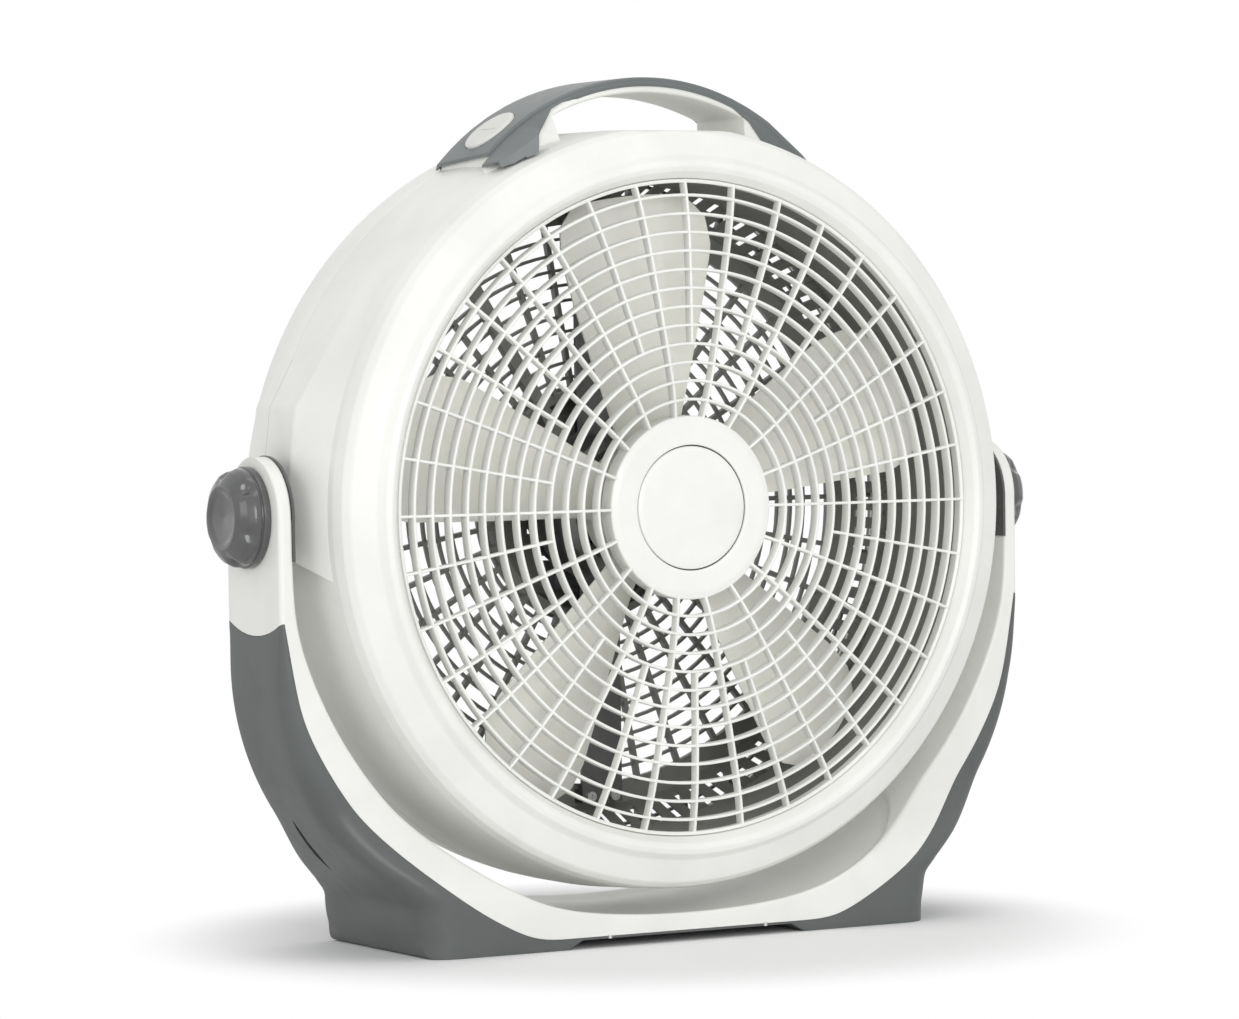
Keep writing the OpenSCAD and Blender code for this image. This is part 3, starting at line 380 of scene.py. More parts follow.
class Form:
    """Vertices and faces gathered from several simple sweeps, made into one piece at the end."""

    def __init__(self):
        self.verts = []
        self.faces = []

    def add(self, verts, faces):
        start = len(self.verts)
        self.verts += [tuple(v) for v in verts]
        self.faces += [tuple(start + i for i in face) for face in faces]
        return self

    def grid(self, points, wrap_rows=False, wrap_columns=False, flip=False):
        """A sheet of quads over points[row, column, xyz]."""
        rows, columns = points.shape[:2]
        faces = []
        for i in range(rows if wrap_rows else rows - 1):
            for j in range(columns if wrap_columns else columns - 1):
                a, b = i * columns + j, i * columns + (j + 1) % columns
                c = (i + 1) % rows * columns + (j + 1) % columns
                d = (i + 1) % rows * columns + j
                faces.append((a, d, c, b) if flip else (a, b, c, d))
        return self.add(points.reshape(-1, 3), faces)

    def lathe(self, outline, steps=180, closed=True, change=None, axis="Y"):
        """An outline of (radius, along) turned about the fan axis or the tilt axis."""
        angles = np.linspace(0, 2 * math.pi, steps, endpoint=False)
        radius, along = np.array(outline, float).T
        first, second = np.cos(angles)[:, None] * radius, np.sin(angles)[:, None] * radius
        flat = np.broadcast_to(along, first.shape)
        order = (first, flat, second) if axis == "Y" else (flat, first, second)
        points = np.stack(order, 2)
        if change is not None:
            points = change(points)
        return self.grid(points, wrap_rows=True, wrap_columns=closed, flip=axis == "Y")

    def loft(self, sections):
        """Skins a row of equal loops and caps the ends."""
        points = np.array(sections)
        rows, count = points.shape[:2]
        self.grid(points, wrap_columns=True)
        first, last = len(self.verts) - rows * count, len(self.verts) - count
        self.faces.append(tuple(first + i for i in range(count)))
        self.faces.append(tuple(last + i for i in reversed(range(count))))
        return self

    def slab(self, outline, low, high, axis="Y"):
        """An outline made solid between two depths along an axis."""
        first, second = np.array(outline, float).T
        sections = []
        for depth in (low, high):
            flat = np.full(len(first), depth)
            columns = {"X": (flat, first, second), "Y": (first, flat, second),
                       "Z": (first, second, flat)}[axis]
            sections.append(np.stack(columns, 1))
        return self.loft(sections)

    def copies(self, count, first):
        """Repeats everything made so far round the fan axis; first is in degrees from +X up."""
        verts, faces = np.array(self.verts), list(self.faces)
        self.verts, self.faces = [], []
        for i in range(count):
            angle = math.radians(first + i * (360 / count))
            turn = np.array([[math.cos(angle), 0, -math.sin(angle)], [0, 1, 0],
                             [math.sin(angle), 0, math.cos(angle)]])
            self.add(verts @ turn.T, faces)
        return self

    def moved(self, matrix):
        self.verts = [tuple(matrix @ Vector(v)) for v in self.verts]
        return self

    def mesh(self, name, sharp):
        mesh = bpy.data.meshes.new(name)
        mesh.from_pydata([(Vector(v) * MM + PIVOT)[:] for v in self.verts], [], self.faces)
        work = bmesh.new()
        work.from_mesh(mesh)
        bmesh.ops.remove_doubles(work, verts=work.verts, dist=2e-6)
        bmesh.ops.recalc_face_normals(work, faces=work.faces)
        work.to_mesh(mesh)
        work.free()
        soften(mesh, sharp)
        return mesh


def piece(name, form, sharp=38):
    """Makes a form into an object; edges past the sharp angle, in degrees, stay crisp."""
    obj = bpy.data.objects.new(name, form.mesh(name, sharp))
    bpy.context.scene.collection.objects.link(obj)
    return obj


def soften(mesh, sharp):
    """Smooth shading that breaks only at edges past an angle in degrees."""
    mesh.polygons.foreach_set("use_smooth", [True] * len(mesh.polygons))
    mesh.set_sharp_from_angle(angle=math.radians(sharp))


def carve(obj, form, operation="DIFFERENCE", sharp=38):
    """Cuts another form out of a piece, or joins it on."""
    combine(obj, piece("cutter", form), operation, sharp)


def combine(obj, other, operation, sharp=38):
    """Carries out a Boolean with another piece, which is used up."""
    change = obj.modifiers.new("combine", "BOOLEAN")
    change.operation = operation
    change.solver = "EXACT"
    change.object = other
    bpy.context.view_layer.update()
    shaped = bpy.data.meshes.new_from_object(
        obj.evaluated_get(bpy.context.evaluated_depsgraph_get()))
    obj.modifiers.clear()
    used = (obj.data, other.data)
    obj.data = shaped
    bpy.data.objects.remove(other)
    for mesh in used:
        bpy.data.meshes.remove(mesh)
    soften(shaped, sharp)


def place(obj, finish, body, *nodes):
    """Gives a finished piece its material, its body and the nodes that it stands for."""
    FINISHES[finish].cover(obj)
    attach(obj, body)
    if nodes:
        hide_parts(*nodes)


def arc(centre, radius, start, stop, steps):
    """Points on a circle between two angles in degrees, ends included."""
    angles = np.radians(np.linspace(start, stop, steps + 1))
    return np.stack([centre[0] + radius * np.cos(angles), centre[1] + radius * np.sin(angles)], 1)


# ---- Head ----

HEAD_R = 249.0
SHELL_WALL = 2.6
SLOT_FLOOR = 241.0
POD_TOP, POD_CORNER, POD_FOOT = 135.0, 68.0, -50.0
POD_SLANT = 0.125
FLIP = Matrix.Scale(-1, 3, (1, 0, 0))


def flattened(points):
    """Levels the top of the head, which is the floor of the hand slot, and keeps its wall."""
    out = points.copy()
    radius = np.hypot(points[..., 0], points[..., 2])
    skin = np.interp(points[..., 1], [-70.2, -65, -56, 3, 30, 46, 59, 66, 69.2],
                     [240, 243.4, 245.3, HEAD_R, HEAD_R, 248.6, 247.6, 245.6, 242.2])
    limit = SLOT_FLOOR - np.clip(skin - radius, 0, SHELL_WALL)
    out[..., 2] = np.minimum(points[..., 2], limit)
    return out


def front_shell_form():
    outline = rounded([
        (210, -69), (210, -76, 5), (214.3, -82, 3), (217.5, -84, 2.5), (221.2, -82.8, 3),
        (225, -77.6, 5), (240, -70.2, 5), (243.4, -65, 5), (245.3, -56, 9), (249, 3, 1.5),
        (249, 29.6, 0.6), (246.6, 29.6), (246.4, 0), (242.4, -56), (239, -67),
        (223, -75), (217.5, -81), (212.6, -74), (212.6, -69)], steps=5)
    return Form().lathe(outline, 300, change=flattened)


def pod_form():
    """Raised panel on the side of the head that carries the pivot, easing into the round shell."""
    sections = []
    heights = [*np.linspace(POD_TOP, 70, 26), 68.5, 67, *np.linspace(64, POD_FOOT, 34)]
    for z in heights:
        skin = math.sqrt(248.6 ** 2 - z * z)
        # Above its corner the panel runs straight up until it meets the round head as a tangent.
        panel = 259.3 - 0.12 * abs(min(z, POD_CORNER)) - 0.638 * max(0.0, z - POD_CORNER)
        slant = POD_SLANT * min(1.0, (POD_TOP - z) / (POD_TOP - POD_CORNER))

        def stand(y):
            return min(panel - slant * (y + 20), 258.5)

        outline = rounded([(skin - 12, 63), (stand(60) - 2.5, 63, 3), (stand(50), 50, 12),
                           (stand(-17), -17, 4), (skin - 3.6, -52, 6), (skin - 12, -60)],
                          closed=False, steps=8)
        sections.append([(x, y, z) for x, y in evenly(outline, 72)])
    return Form().loft(sections)


def below_pod_form():
    """What is left out under the pod: its lower edge runs down towards the front."""
    outline = [(90, -27), (-18, -27), (-46, -38.5), (-90, -56), (-90, -90), (90, -90)]
    return Form().slab(outline, 220, 270, "X")


ARC_Z, ARC_R = 112.0, 165.0
HALF_L = 123.0
GRIP_Y = 30.1
SLOT_HALF = 73.0
SLOT_ARC_Z, SLOT_ARC_R = 95.0, 172.0


def arch(radius, x):
    """Height of an arch of the handle's own centre."""
    return ARC_Z + np.sqrt(radius ** 2 - np.asarray(x, float) ** 2)


def column(low, high, ease_low, ease_high, steps=14, corner=5):
    """One side of a cross-section, bottom edge to top edge, as (inset, height) pairs."""
    ease_low = min(ease_low, 0.45 * (high - low))
    ease_high = min(ease_high, 0.45 * (high - low))
    points = []
    for k in range(corner):
        a = k / corner * math.pi / 2
        points.append((ease_low * (1 - math.sin(a)), low + ease_low * (1 - math.cos(a))))
    for z in np.linspace(low + ease_low, high - ease_high, steps):
        points.append((0.0, z))
    for k in range(1, corner + 1):
        a = k / corner * math.pi / 2
        points.append((ease_high * (1 - math.cos(a)), high - ease_high * (1 - math.sin(a))))
    return points


def grip_spread(x, z):
    """How far the grip's front runs out beyond its plain depth, down to the head."""
    rate = np.interp(abs(x), [0, 50, 73, 85, 97], [0, 0.2, 0.65, 1.2, 1.2])
    limit = np.interp(x, [-123, -104, -97, -85, -73], [19, 25, 26, 9.5, 14])
    return min(rate * max(0.0, float(arch(ARC_R - 2.6, x)) - z), limit if x < -73 else 14.0)


def grip_form():
    """White part of the handle, with the hand slot through it."""
    sections = []

    def add(x, low):
        side = column(low, float(arch(ARC_R - 3, x)), 2.2, 0.5)
        share = 1.0 if x < 0 else 0.0
        loop = [(x, -GRIP_Y - share * grip_spread(x, z) + inset, z) for inset, z in side]
        sections.append(loop + [(x, GRIP_Y - inset, z) for inset, z in reversed(side)])

    for side in (-1, 1):
        ends = [side * x for x in np.linspace(HALF_L - 1, SLOT_HALF, 24)]
        spans = [side * x for x in [*np.linspace(SLOT_HALF - 0.02, SLOT_HALF - 1.2, 5),
                                    *np.linspace(SLOT_HALF - 3, 0, 24)]]
        if side > 0:
            ends, spans = ends[::-1], spans[::-1][1:]
        for x in (ends + spans if side < 0 else spans + ends):
            if abs(x) >= SLOT_HALF:
                add(x, min(236.0, math.sqrt(HEAD_R ** 2 - x * x) - 4))
            else:
                corner = max(0.0, 1.2 - (SLOT_HALF - abs(x)))
                add(x, SLOT_ARC_Z + math.sqrt(SLOT_ARC_R ** 2 - x * x) - 1.5 * corner ** 2)
    return Form().loft(sections)


# Lower edge of the cover at each end, seen from the front: (x, z), from the middle outwards.
LEFT_SKIRT = [(-57, 261.2), (-64, 260, 4), (-72, 256, 6), (-85, 242.6, 8), (-96.8, 237.6),
              (-97.2, 226.0), (-104.6, 223.2), (-104.9, 224.2), (-112, 219.8), (-119.4, 217.4),
              (-120.4, 220.6), (-123, 220)]
RIGHT_SKIRT = [(56, 260.8), (64, 257.5, 8), (76, 248.7, 8), (85, 237, 2), (88.7, 233.8, 1),
               (91.3, 225, 1.5), (118, 214, 2), (121.8, 219, 1), (123, 220)]


def skirt_shelf(x):
    """The left skirt stands forward on a shelf: how far, and the height of its front edge."""
    stops = [-121, -120.6, -112, -104, -97, -85, -73, -58]
    return (float(np.interp(x, stops, [0.3, 19, 23.5, 26.5, 29, 11, 1.6, 0])),
            float(np.interp(x, stops, [221.6, 221.9, 226.6, 232.4, 238.4, 243.4, 256.2, 262.1])))


def cover_side(x, low, top):
    """Front of the cover at one place: its face, the shelf and the rim above a fine ridge."""
    forward, edge = skirt_shelf(x) if x < -57.9 else (0.0, top - 5.4)
    ridge = top - 2.6
    edge = max(min(edge, ridge - 0.4), low + 0.4)
    face = [(-31 - forward, z) for z in np.linspace(low, edge - 0.1, 6)]
    shelf = [(-31 - forward * (1 - t) - 0.35 * math.sin(math.pi * t),
              edge + (ridge - edge) * t ** 1.25) for t in np.linspace(0.06, 1, 12)]
    rim = [(-30.5, ridge + 0.15), (-30.5, ridge + 0.5), (-30.4, top - 1.2), (-29.9, top - 0.5),
           (-29.0, top - 0.1), (-27.5, top)]
    return face + shelf + rim


def cover_form():
    """Dark cover: a channel over the arch whose skirts run down onto the head at both ends."""
    wall = 2.4
    left = rounded(LEFT_SKIRT, closed=False)
    right = rounded(RIGHT_SKIRT, closed=False)
    middle = [(x, None) for x in np.linspace(-56, 54, 36)]
    sections = []
    for x, z in [*reversed(left), *middle, *right]:
        x = min(max(x, -HALF_L), HALF_L)
        top = float(arch(ARC_R, x))
        low = min(float(arch(ARC_R - 6, x)) if z is None else z, top - 4.2)
        front = cover_side(x, low, top)
        back = [(-y, z) for y, z in cover_side(60.0, low, top)]
        roof = top - 2.3
        inner = [(y + wall, min(max(low, z - (0 if y > -33.5 else 2.0)), roof))
                 for y, z in front]
        inner_back = [(y - wall, min(z, roof)) for y, z in back]
        loop = front + back[::-1] + inner_back + inner[::-1]
        sections.append([(x, y, z) for y, z in loop])
    return Form().loft(sections)


def handle_end_form(keep):
    """Room beyond the slanted left end of the handle; keep is how much more is left on."""
    outline = [(-117.5 - keep, -31.7), (-122.6 - keep, 31.8), (-122.6 - keep, 45), (-150, 45),
               (-150, -31.7)]
    return Form().slab(outline, 190, 270, "Z")


def rear_shell_form():
    outline = rounded([
        (249, 30.4, 0.6), (248.6, 46, 6), (247.6, 59, 5), (245.6, 66, 4), (242.2, 69.2, 4),
        (238, 70, 3), (234.4, 68.6, 1.5), (233.6, 66), (233.6, 62.6), (226, 62.6), (226, 60.2),
        (243, 60.2), (245.4, 56), (246.2, 45), (246.6, 30.4)], steps=5)
    return Form().lathe(outline, 300, change=flattened)


def pod_seam_form():
    """Fine groove that carries the seam of the two shells across the pod."""
    return Form().slab([(29.7, -60), (30.4, -60), (30.4, 140), (29.7, 140)], 215, 275, "X")


class FLOORFAN_OT_head(bpy.types.Operator):
    """Makes the two halves of the head's shell and the pivot pods"""
    bl_idname = "floorfan.head"
    bl_label = "Head shells"

    def execute(self, context):
        place(piece("head_front", front_shell_form()), "white", "head", "front_shell")
        for word, flip in (("left", FLIP), ("right", Matrix())):
            pod = piece(f"pivot_pod_{word}", pod_form().moved(flip))
            carve(pod, below_pod_form().moved(flip))
            carve(pod, pod_seam_form().moved(flip))
            place(pod, "white", "head")
        place(piece("head_rear", rear_shell_form()), "white", "head", "rear_shell")
        # A thin dark grey ring set in the gap between the two white shells: painted shade in the seam.
        seam = Form().lathe([(247.9, 28), (248.1, 28), (248.1, 32), (247.9, 32)], 300,
                            change=flattened)
        place(piece("head_seam_shade", seam), "trim", "head")
        return {"FINISHED"}


class FLOORFAN_OT_handle(bpy.types.Operator):
    """Makes the white grip, its dark cover and the speed dial"""
    bl_idname = "floorfan.handle"
    bl_label = "Handle"

    def execute(self, context):
        grip = piece("handle_grip_white", grip_form(), 30)
        carve(grip, handle_end_form(-2.6), sharp=30)
        place(grip, "white", "head", "handle_grip")
        cover = piece("handle_cover_channel", cover_form(), 24)
        carve(cover, handle_end_form(0.0), sharp=24)
        hole = Form().lathe(rounded([(0, -8), (18.9, -8), (18.9, 8), (0, 8)], closed=False), 96,
                            closed=False, axis="X")
        carve(cover, hole.moved(dial_matrix()))
        place(cover, "cover", "head", "handle_cover")
        dial = Form().lathe(rounded([
            (0, -4), (18.5, -4), (18.5, 0.4, 1.2), (16.5, 1.5, 2), (6, 1.1, 3), (0, 1.0)],
            closed=False), 96, closed=False, axis="X")
        half = context.scene.floorfan_sizes.mark_width / MM / 2
        mark = Form().slab(rounded([(-12.5, -half, 0.2), (12.5, -half, 0.2), (12.5, half, 0.2),
                                    (-12.5, half, 0.2)]), 0.9, 1.5, "X")
        place(piece("dial_disc", dial.moved(dial_matrix())), "dial", "dial", "speed_dial")
        place(piece("dial_mark", mark.moved(dial_matrix())), "dial", "dial")
        return {"FINISHED"}


DIAL_X = -100.0


def dial_matrix():
    """Takes a form turned about +X to the dial's seat on the handle's arch."""
    lean = math.asin(DIAL_X / ARC_R)
    out = Vector((math.sin(lean), 0, math.cos(lean)))
    across = Vector((0, 1, 0))
    seat = Vector((0, 0, ARC_Z)) + ARC_R * out
    turn = Matrix((out, across, out.cross(across))).transposed().to_4x4()
    return Matrix.Translation(seat) @ turn


# ---- Front grille ----

RIM_R = 209.85
HUB_R = 58.8
RING_N = 12
RING_PITCH = (210 - 2.3 - HUB_R - 10.5) / (RING_N - 0.3)


def ring_radius(k):
    return HUB_R + 10.5 + RING_PITCH * (k - 1)


def dome(radius):
    """Where the front of the grille stands along the fan axis, at a radius."""
    r = np.asarray(radius, float)
    return (-83 + 3.2 * (np.abs(r - 115.5) / 94.5) ** 2
            + 3 * (np.maximum(0, r - 168) / 42) ** 2 + 3 * (np.maximum(0, 88.2 - r) / 29.4) ** 2)


def rib_section(front, depth, width, tail):
    """A rib seen end on: round nose, slight taper towards its back."""
    w, t = width / 2, tail / 2
    return [(-t, front + depth), (-w, front + w), (-0.8 * w, front + 0.4 * w),
            (-0.4 * w, front + 0.08 * w), (0.4 * w, front + 0.08 * w), (0.8 * w, front + 0.4 * w),
            (w, front + w), (t, front + depth)]


def grille_rings(width):
    form = Form()
    for k in range(1, RING_N + 1):
        r = ring_radius(k)
        section = rib_section(float(dome(r)) - 0.4, 8.4, width, 0.79 * width)
        form.lathe([(r + a, y) for a, y in section], 240)
    form.lathe(rounded([(RIM_R - 2.6, -76, 0.8), (RIM_R - 0.4, -77, 0.6), (RIM_R, -75),
                        (RIM_R, -69), (RIM_R - 2.2, -69)]), 240)
    return form


def spoke_form(inner, outer, width):
    """One spoke along +X, its nose following the dome half a millimetre behind the rings'."""
    sections = []
    for r in np.linspace(inner, outer, 24):
        front = float(dome(r)) + 0.1
        sections.append([(r, y, a) for a, y in rib_section(front, 7.4, width, 0.74 * width)])
    return Form().loft(sections)


class FLOORFAN_OT_grille(bpy.types.Operator):
    """Makes the front grille's rings and spokes, its hub plate and the cap"""
    bl_idname = "floorfan.grille"
    bl_label = "Front grille"

    def execute(self, context):
        sizes = context.scene.floorfan_sizes
        form = grille_rings(sizes.ring_width / MM)
        for inner, first in ((HUB_R - 1.5, 0), (ring_radius(4), 10)):
            spokes = spoke_form(inner, RIM_R - 0.3, sizes.spoke_width / MM).copies(18, first)
            form.add(spokes.verts, spokes.faces)
        place(piece("grille_web", form, 50), "grille", "head", "front_grille")
        plate = Form().lathe(rounded([
            (40.2, -78.6), (40.4, -79, 0.5), (42, -79.2, 0.8), (54, -79, 3), (58.8, -77.8, 1.6),
            (59, -66), (57.4, -66), (57, -75.5), (40.2, -75.5)], steps=5), 180)
        place(piece("grille_hub", plate), "grille", "head")
        cap = Form().lathe(rounded([
            (0, -80.2), (15, -80.1), (27, -79.8), (36, -79.2, 3), (39.3, -78.3, 1.2),
            (39.5, -76.5), (0, -76.5)], closed=False, steps=6), 180, closed=False)
        place(piece("grille_cap", cap), "cap", "head", "hub_cap")
        # A black ring set behind the gap between the cap and the hub plate: painted shade in the
        # groove.
        groove = Form().lathe([(39.2, -77.2), (40.6, -77.2), (40.6, -76), (39.2, -76)], 180)
        place(piece("cap_groove_shade", groove), "switch", "head")
        return {"FINISHED"}


# ---- Fan ----

TIP_R = 201.0


def blade_form(thickness):
    """One broad blade along +X: rows from the hub to the tip, columns across its width."""
    rows, columns = 30, 22
    radii = np.linspace(37, TIP_R, rows)
    t = (radii - 37) / (TIP_R - 37)
    lead = np.interp(t, [0, 0.12, 0.35, 0.6, 0.82, 0.93, 1], [20, 22, 31, 40, 47, 46, 36])
    trail = np.interp(t, [0, 0.12, 0.35, 0.6, 0.82, 0.93, 1], [-19, -21, -32, -43, -52, -50, -38])
    pitch = np.radians(np.interp(t, [0, 0.4, 1], [33, 26, 17]))
    sides = []
    for offset in (-1, 1):
        sheet = np.zeros((rows, columns, 3))
        for i in range(rows):
            s = np.linspace(trail[i], lead[i], columns)
            half = max(abs(trail[i]), lead[i])
            camber = 6.5 * (1 - (s / half) ** 2) * (0.6 + 0.4 * t[i])
            thick = thickness / 2 * (1 - 0.55 * np.abs(s / half) ** 4)
            along = s * math.cos(pitch[i])
            deep = s * math.sin(pitch[i]) - camber + offset * thick
            sheet[i, :, 0] = np.sqrt(np.maximum(radii[i] ** 2 - along ** 2, 1))
            sheet[i, :, 1] = -31.5 + deep
            sheet[i, :, 2] = along
        sides.append(sheet)
    form = Form()
    loop_rows = [np.concatenate([sides[0][i], sides[1][i][::-1]]) for i in range(rows)]
    return form.loft(loop_rows)


class FLOORFAN_OT_fan(bpy.types.Operator):
    """Makes the five blades and their hub"""
    bl_idname = "floorfan.fan"
    bl_label = "Fan"

    def execute(self, context):
        form = blade_form(context.scene.floorfan_sizes.blade_thickness / MM).copies(5, 23)
        form.lathe(rounded([
            (0, -50.6), (12, -50.6), (34, -50.9, 4), (39.6, -48, 4), (40, -8), (37, -8),
            (37, -45), (0, -45)], closed=False, steps=5), 144, closed=False)
        place(piece("blade_set", form, 45), "cream", "fan", "fan_blade")
        return {"FINISHED"}


# ---- Tilt knobs ----

def knob_form(hollow_count):
    """Domed knob on the +X side, with finger hollows round it and a dished face."""
    outline = rounded([
        (0, 275.1), (31.4, 275.1), (32, 275.9, 0.8), (32, 279.4, 0.9), (30.6, 280, 0.4),
        (30.4, 280.7, 0.4), (31.3, 281.4, 0.8), (31.0, 285, 5), (28.6, 289.6, 5), (24.6, 293, 4),
        (20.4, 294.9, 3), (17.6, 294.6, 2), (14.6, 293.6, 4), (0, 292.6)], closed=False, steps=6)
    fine = [outline[0]]
    for a, b in zip(outline[:-1], outline[1:]):
        count = max(1, int(np.linalg.norm(b - a) / 1.2))
        fine += [a + (b - a) * (k + 1) / count for k in range(count)]
    fine = np.array(fine)

    def hollows(points):
        x, y, z = points[..., 0], points[..., 1], points[..., 2]
        angle = np.arctan2(z, y)
        radius = np.hypot(y, z)
        lobe = np.maximum(0, np.cos(hollow_count * (angle - 0.35))) ** 2.2
        belt = np.exp(-((x - 288) / 4.6) ** 2) * (x > 281.2) * np.clip((radius - 19) / 4, 0, 1)
        keep = 1 - 0.115 * lobe * belt
        out = points.copy()
        out[..., 1] *= keep
        out[..., 2] *= keep
        out[..., 0] -= 1.0 * lobe * belt
        return out

    return Form().lathe(fine, 216, closed=False, change=hollows, axis="X")


class FLOORFAN_OT_knobs(bpy.types.Operator):
    """Makes the two tilt knobs"""
    bl_idname = "floorfan.knobs"
    bl_label = "Tilt knobs"

    def execute(self, context):
        for side, word in ((-1, "left"), (1, "right")):
            form = knob_form(context.scene.floorfan_sizes.knob_hollows)
            if side < 0:
                form.moved(FLIP)
            place(piece(f"knob_{word}_cap", form, 60), "knob", f"knob_{word}",
                  f"tilt_knob_{word}")
        return {"FINISHED"}


# ---- Base ----

ARM_IN, ARM_OUT = 266.0, 275.0
SOLE_Z, BELLY_Z = -278.2, -272.7
# Circles seen from the front: how far the centre stands above the tilt axis, and the radius.
SADDLE_SIDE, SADDLE_FLOOR, BAND_EDGE = (4, 273.5), (431.3, 690), (-14, 284)
# Sides of the dark rims between pod and arm, which are partly the friction insert and partly painted
# shade of the gap.
RIM_IN, RIM_OUT = 264.3, 265.9


def outer_path():
    """Outside of the base seen from the front, from the right arm down to the middle."""
    straight = [(ARM_OUT, z) for z in np.linspace(0, -88, 30)]
    curve = arc((ARM_OUT - 175, -92), 175, 0, -51, 40)
    foot = rounded([tuple(curve[-1]), (200.6, -236, 12), (190.6, -246, 14), (188.4, -262, 12),
                    (185.0, SOLE_Z, 6), (88, SOLE_Z, 2), (78, BELLY_Z, 3), (0, BELLY_Z)],
                   closed=False, steps=7)
    path = [*straight, *curve[:-1]]
    for a, b in zip(foot[:-1], foot[1:]):
        count = max(1, int(np.linalg.norm(b - a) / 3))
        path += [a + (b - a) * k / count for k in range(count)]
    return np.array([*path, foot[-1]])


def polar(points):
    """Angle from straight down and distance, for points right of the middle."""
    return np.arctan2(points[:, 0], -points[:, 1]), np.hypot(points[:, 0], points[:, 1])


def from_axis(angle, rise, radius):
    """Distance from the tilt axis to a circle whose centre stands above it by the rise."""
    return -rise * np.cos(angle) + np.sqrt(radius ** 2 - (rise * np.sin(angle)) ** 2)


def saddle_radius(angle):
    """Distance from the tilt axis to the saddle, at an angle from straight down."""
    wall = ARM_IN / np.maximum(np.abs(np.sin(angle)), 1e-6)
    return soft_least(3.0, from_axis(angle, *SADDLE_SIDE), from_axis(angle, *SADDLE_FLOOR) + 1.4,
                      wall)


def soft_least(blend, *values):
    """The least of some lengths, with the corner between them rounded off."""
    low = min(values)
    return low - blend * math.log(sum(math.exp((low - v) / blend) for v in values))


def lean(z, top, low, first, last):
    """The base's front and back faces run out in an S just above the feet."""
    t = np.clip((np.asarray(z, float) - first) / (last - first), 0, 1)
    return top + (low - top) * t * t * (3 - 2 * t)


def front_ease(z):
    """Radius of the rounding between the front face and the outer side, at a height."""
    return np.interp(z, [-278, -235, -190, -120, -70, 40], [20, 20, 17, 12, 3.2, 2.4])


def base_rows():
    """Rows of the base from the right arm's top to the middle: inner and outer ends, and depths."""
    rows = []
    for turn in np.linspace(4, 90, 16):
        z = 38 * math.cos(math.radians(turn))
        half = 38 * math.sin(math.radians(turn))
        rows.append(((ARM_IN, z), (ARM_OUT, z), -4 - half, -4 + half))
    angles, radii = polar(outer_path())
    order = np.argsort(-angles)
    angles, radii = angles[order], radii[order]
    wanted = set(np.round(angles, 5)) | set(np.round(np.radians(np.arange(0, 89.3, 1.0)), 5))
    wanted |= set(np.round(np.radians(np.arange(34, 46, 0.35)), 5))
    last = 9.0
    for angle in sorted(wanted, reverse=True):
        if angle > math.radians(89.6) or last - angle < 0.0012:
            continue
        last = angle
        rho = np.interp(angle, angles[::-1], radii[::-1])
        inner = float(saddle_radius(angle))
        s, c = math.sin(angle), -math.cos(angle)
        rows.append(((inner * s, inner * c), (rho * s, rho * c), None, None))
    return rows


def rounding(radius, distance):
    """How far a rounded edge of this radius drops back, at a distance from the edge."""
    reach = np.clip(radius - distance, 0, None)
    return radius - np.sqrt(np.maximum(radius * radius - reach * reach, 0))


def base_form():
    """The whole base as one solid, before the white and grey mouldings are parted."""
    inner_steps = np.array([0, 0.15, 0.5, 1.1, 2.0])
    outer_steps = np.array([1, 0.82, 0.66, 0.52, 0.4, 0.3, 0.21, 0.14, 0.08, 0.04, 0.015, 0])
    path = outer_path()
    side_z = path[path[:, 1] > SOLE_Z + 9]
    sections = []
    for inner, outer, front, back in base_rows():
        a, b = np.array(inner), np.array(outer)
        length = np.linalg.norm(b - a)
        reach = min(length - 2.6, 44)
        spots = np.concatenate([inner_steps / length, 1 - outer_steps * reach / length])
        points = a + (b - a) * spots[:, None]
        z = points[:, 1]
        from_inner = spots * length
        wide = np.interp(-np.maximum(z, SOLE_Z + 9), -side_z[:, 1], side_z[:, 0])
        wide = np.where(z > 0, ARM_OUT, wide)
        from_side = np.clip(wide - points[:, 0], 0, None)
        ease = rounding(front_ease(z), from_side)
        rear_ease = rounding(np.minimum(front_ease(z), 4.0), from_side)
        nose = rounding(2.0, from_inner)
        if front is None:
            draft = np.interp(z, [-278, -235], [1.5, 0])
            y0 = lean(z, -42, -68, -180, -245) + ease + nose + draft
            y1 = lean(z, 34, 79, -186, -258) - rear_ease - nose - draft * 2
        else:
            tight = min(1.0, (back - front) / 24)
            y0 = front + (ease + nose) * tight
            y1 = back - (rear_ease + nose) * tight
        front_face = np.stack([points[:, 0], y0, z], 1)
        back_face = np.stack([points[:, 0], y1, z], 1)[::-1]
        outer_face = [front_face[-1] + (back_face[0] - front_face[-1]) * k / 8
                      for k in range(1, 8)]
        inner_face = []
        phi = math.degrees(math.atan2(a[0], -a[1]))
        for k in range(1, 44):
            p = back_face[-1] + (front_face[0] - back_face[-1]) * k / 44
            hollow = 44.2 - phi - 7.7 * ((p[1] - 3) / 55) ** 2
            sunk = min(1.0, max(0.0, hollow / 1.0))
            fade = min(1.0, k / 3, (44 - k) / 3)
            sunk = 3.4 * sunk * sunk * (3 - 2 * sunk) * fade
            out = np.array([a[0], 0, a[1]]) / max(np.linalg.norm(a), 1)
            inner_face.append(p + out * sunk)
        sections.append(np.array([*front_face, *outer_face, *back_face, *inner_face]))
    mirror = np.array([-1, 1, 1])
    left = [s * mirror for s in reversed(sections[:-1])]
    return Form().loft(sections + left)


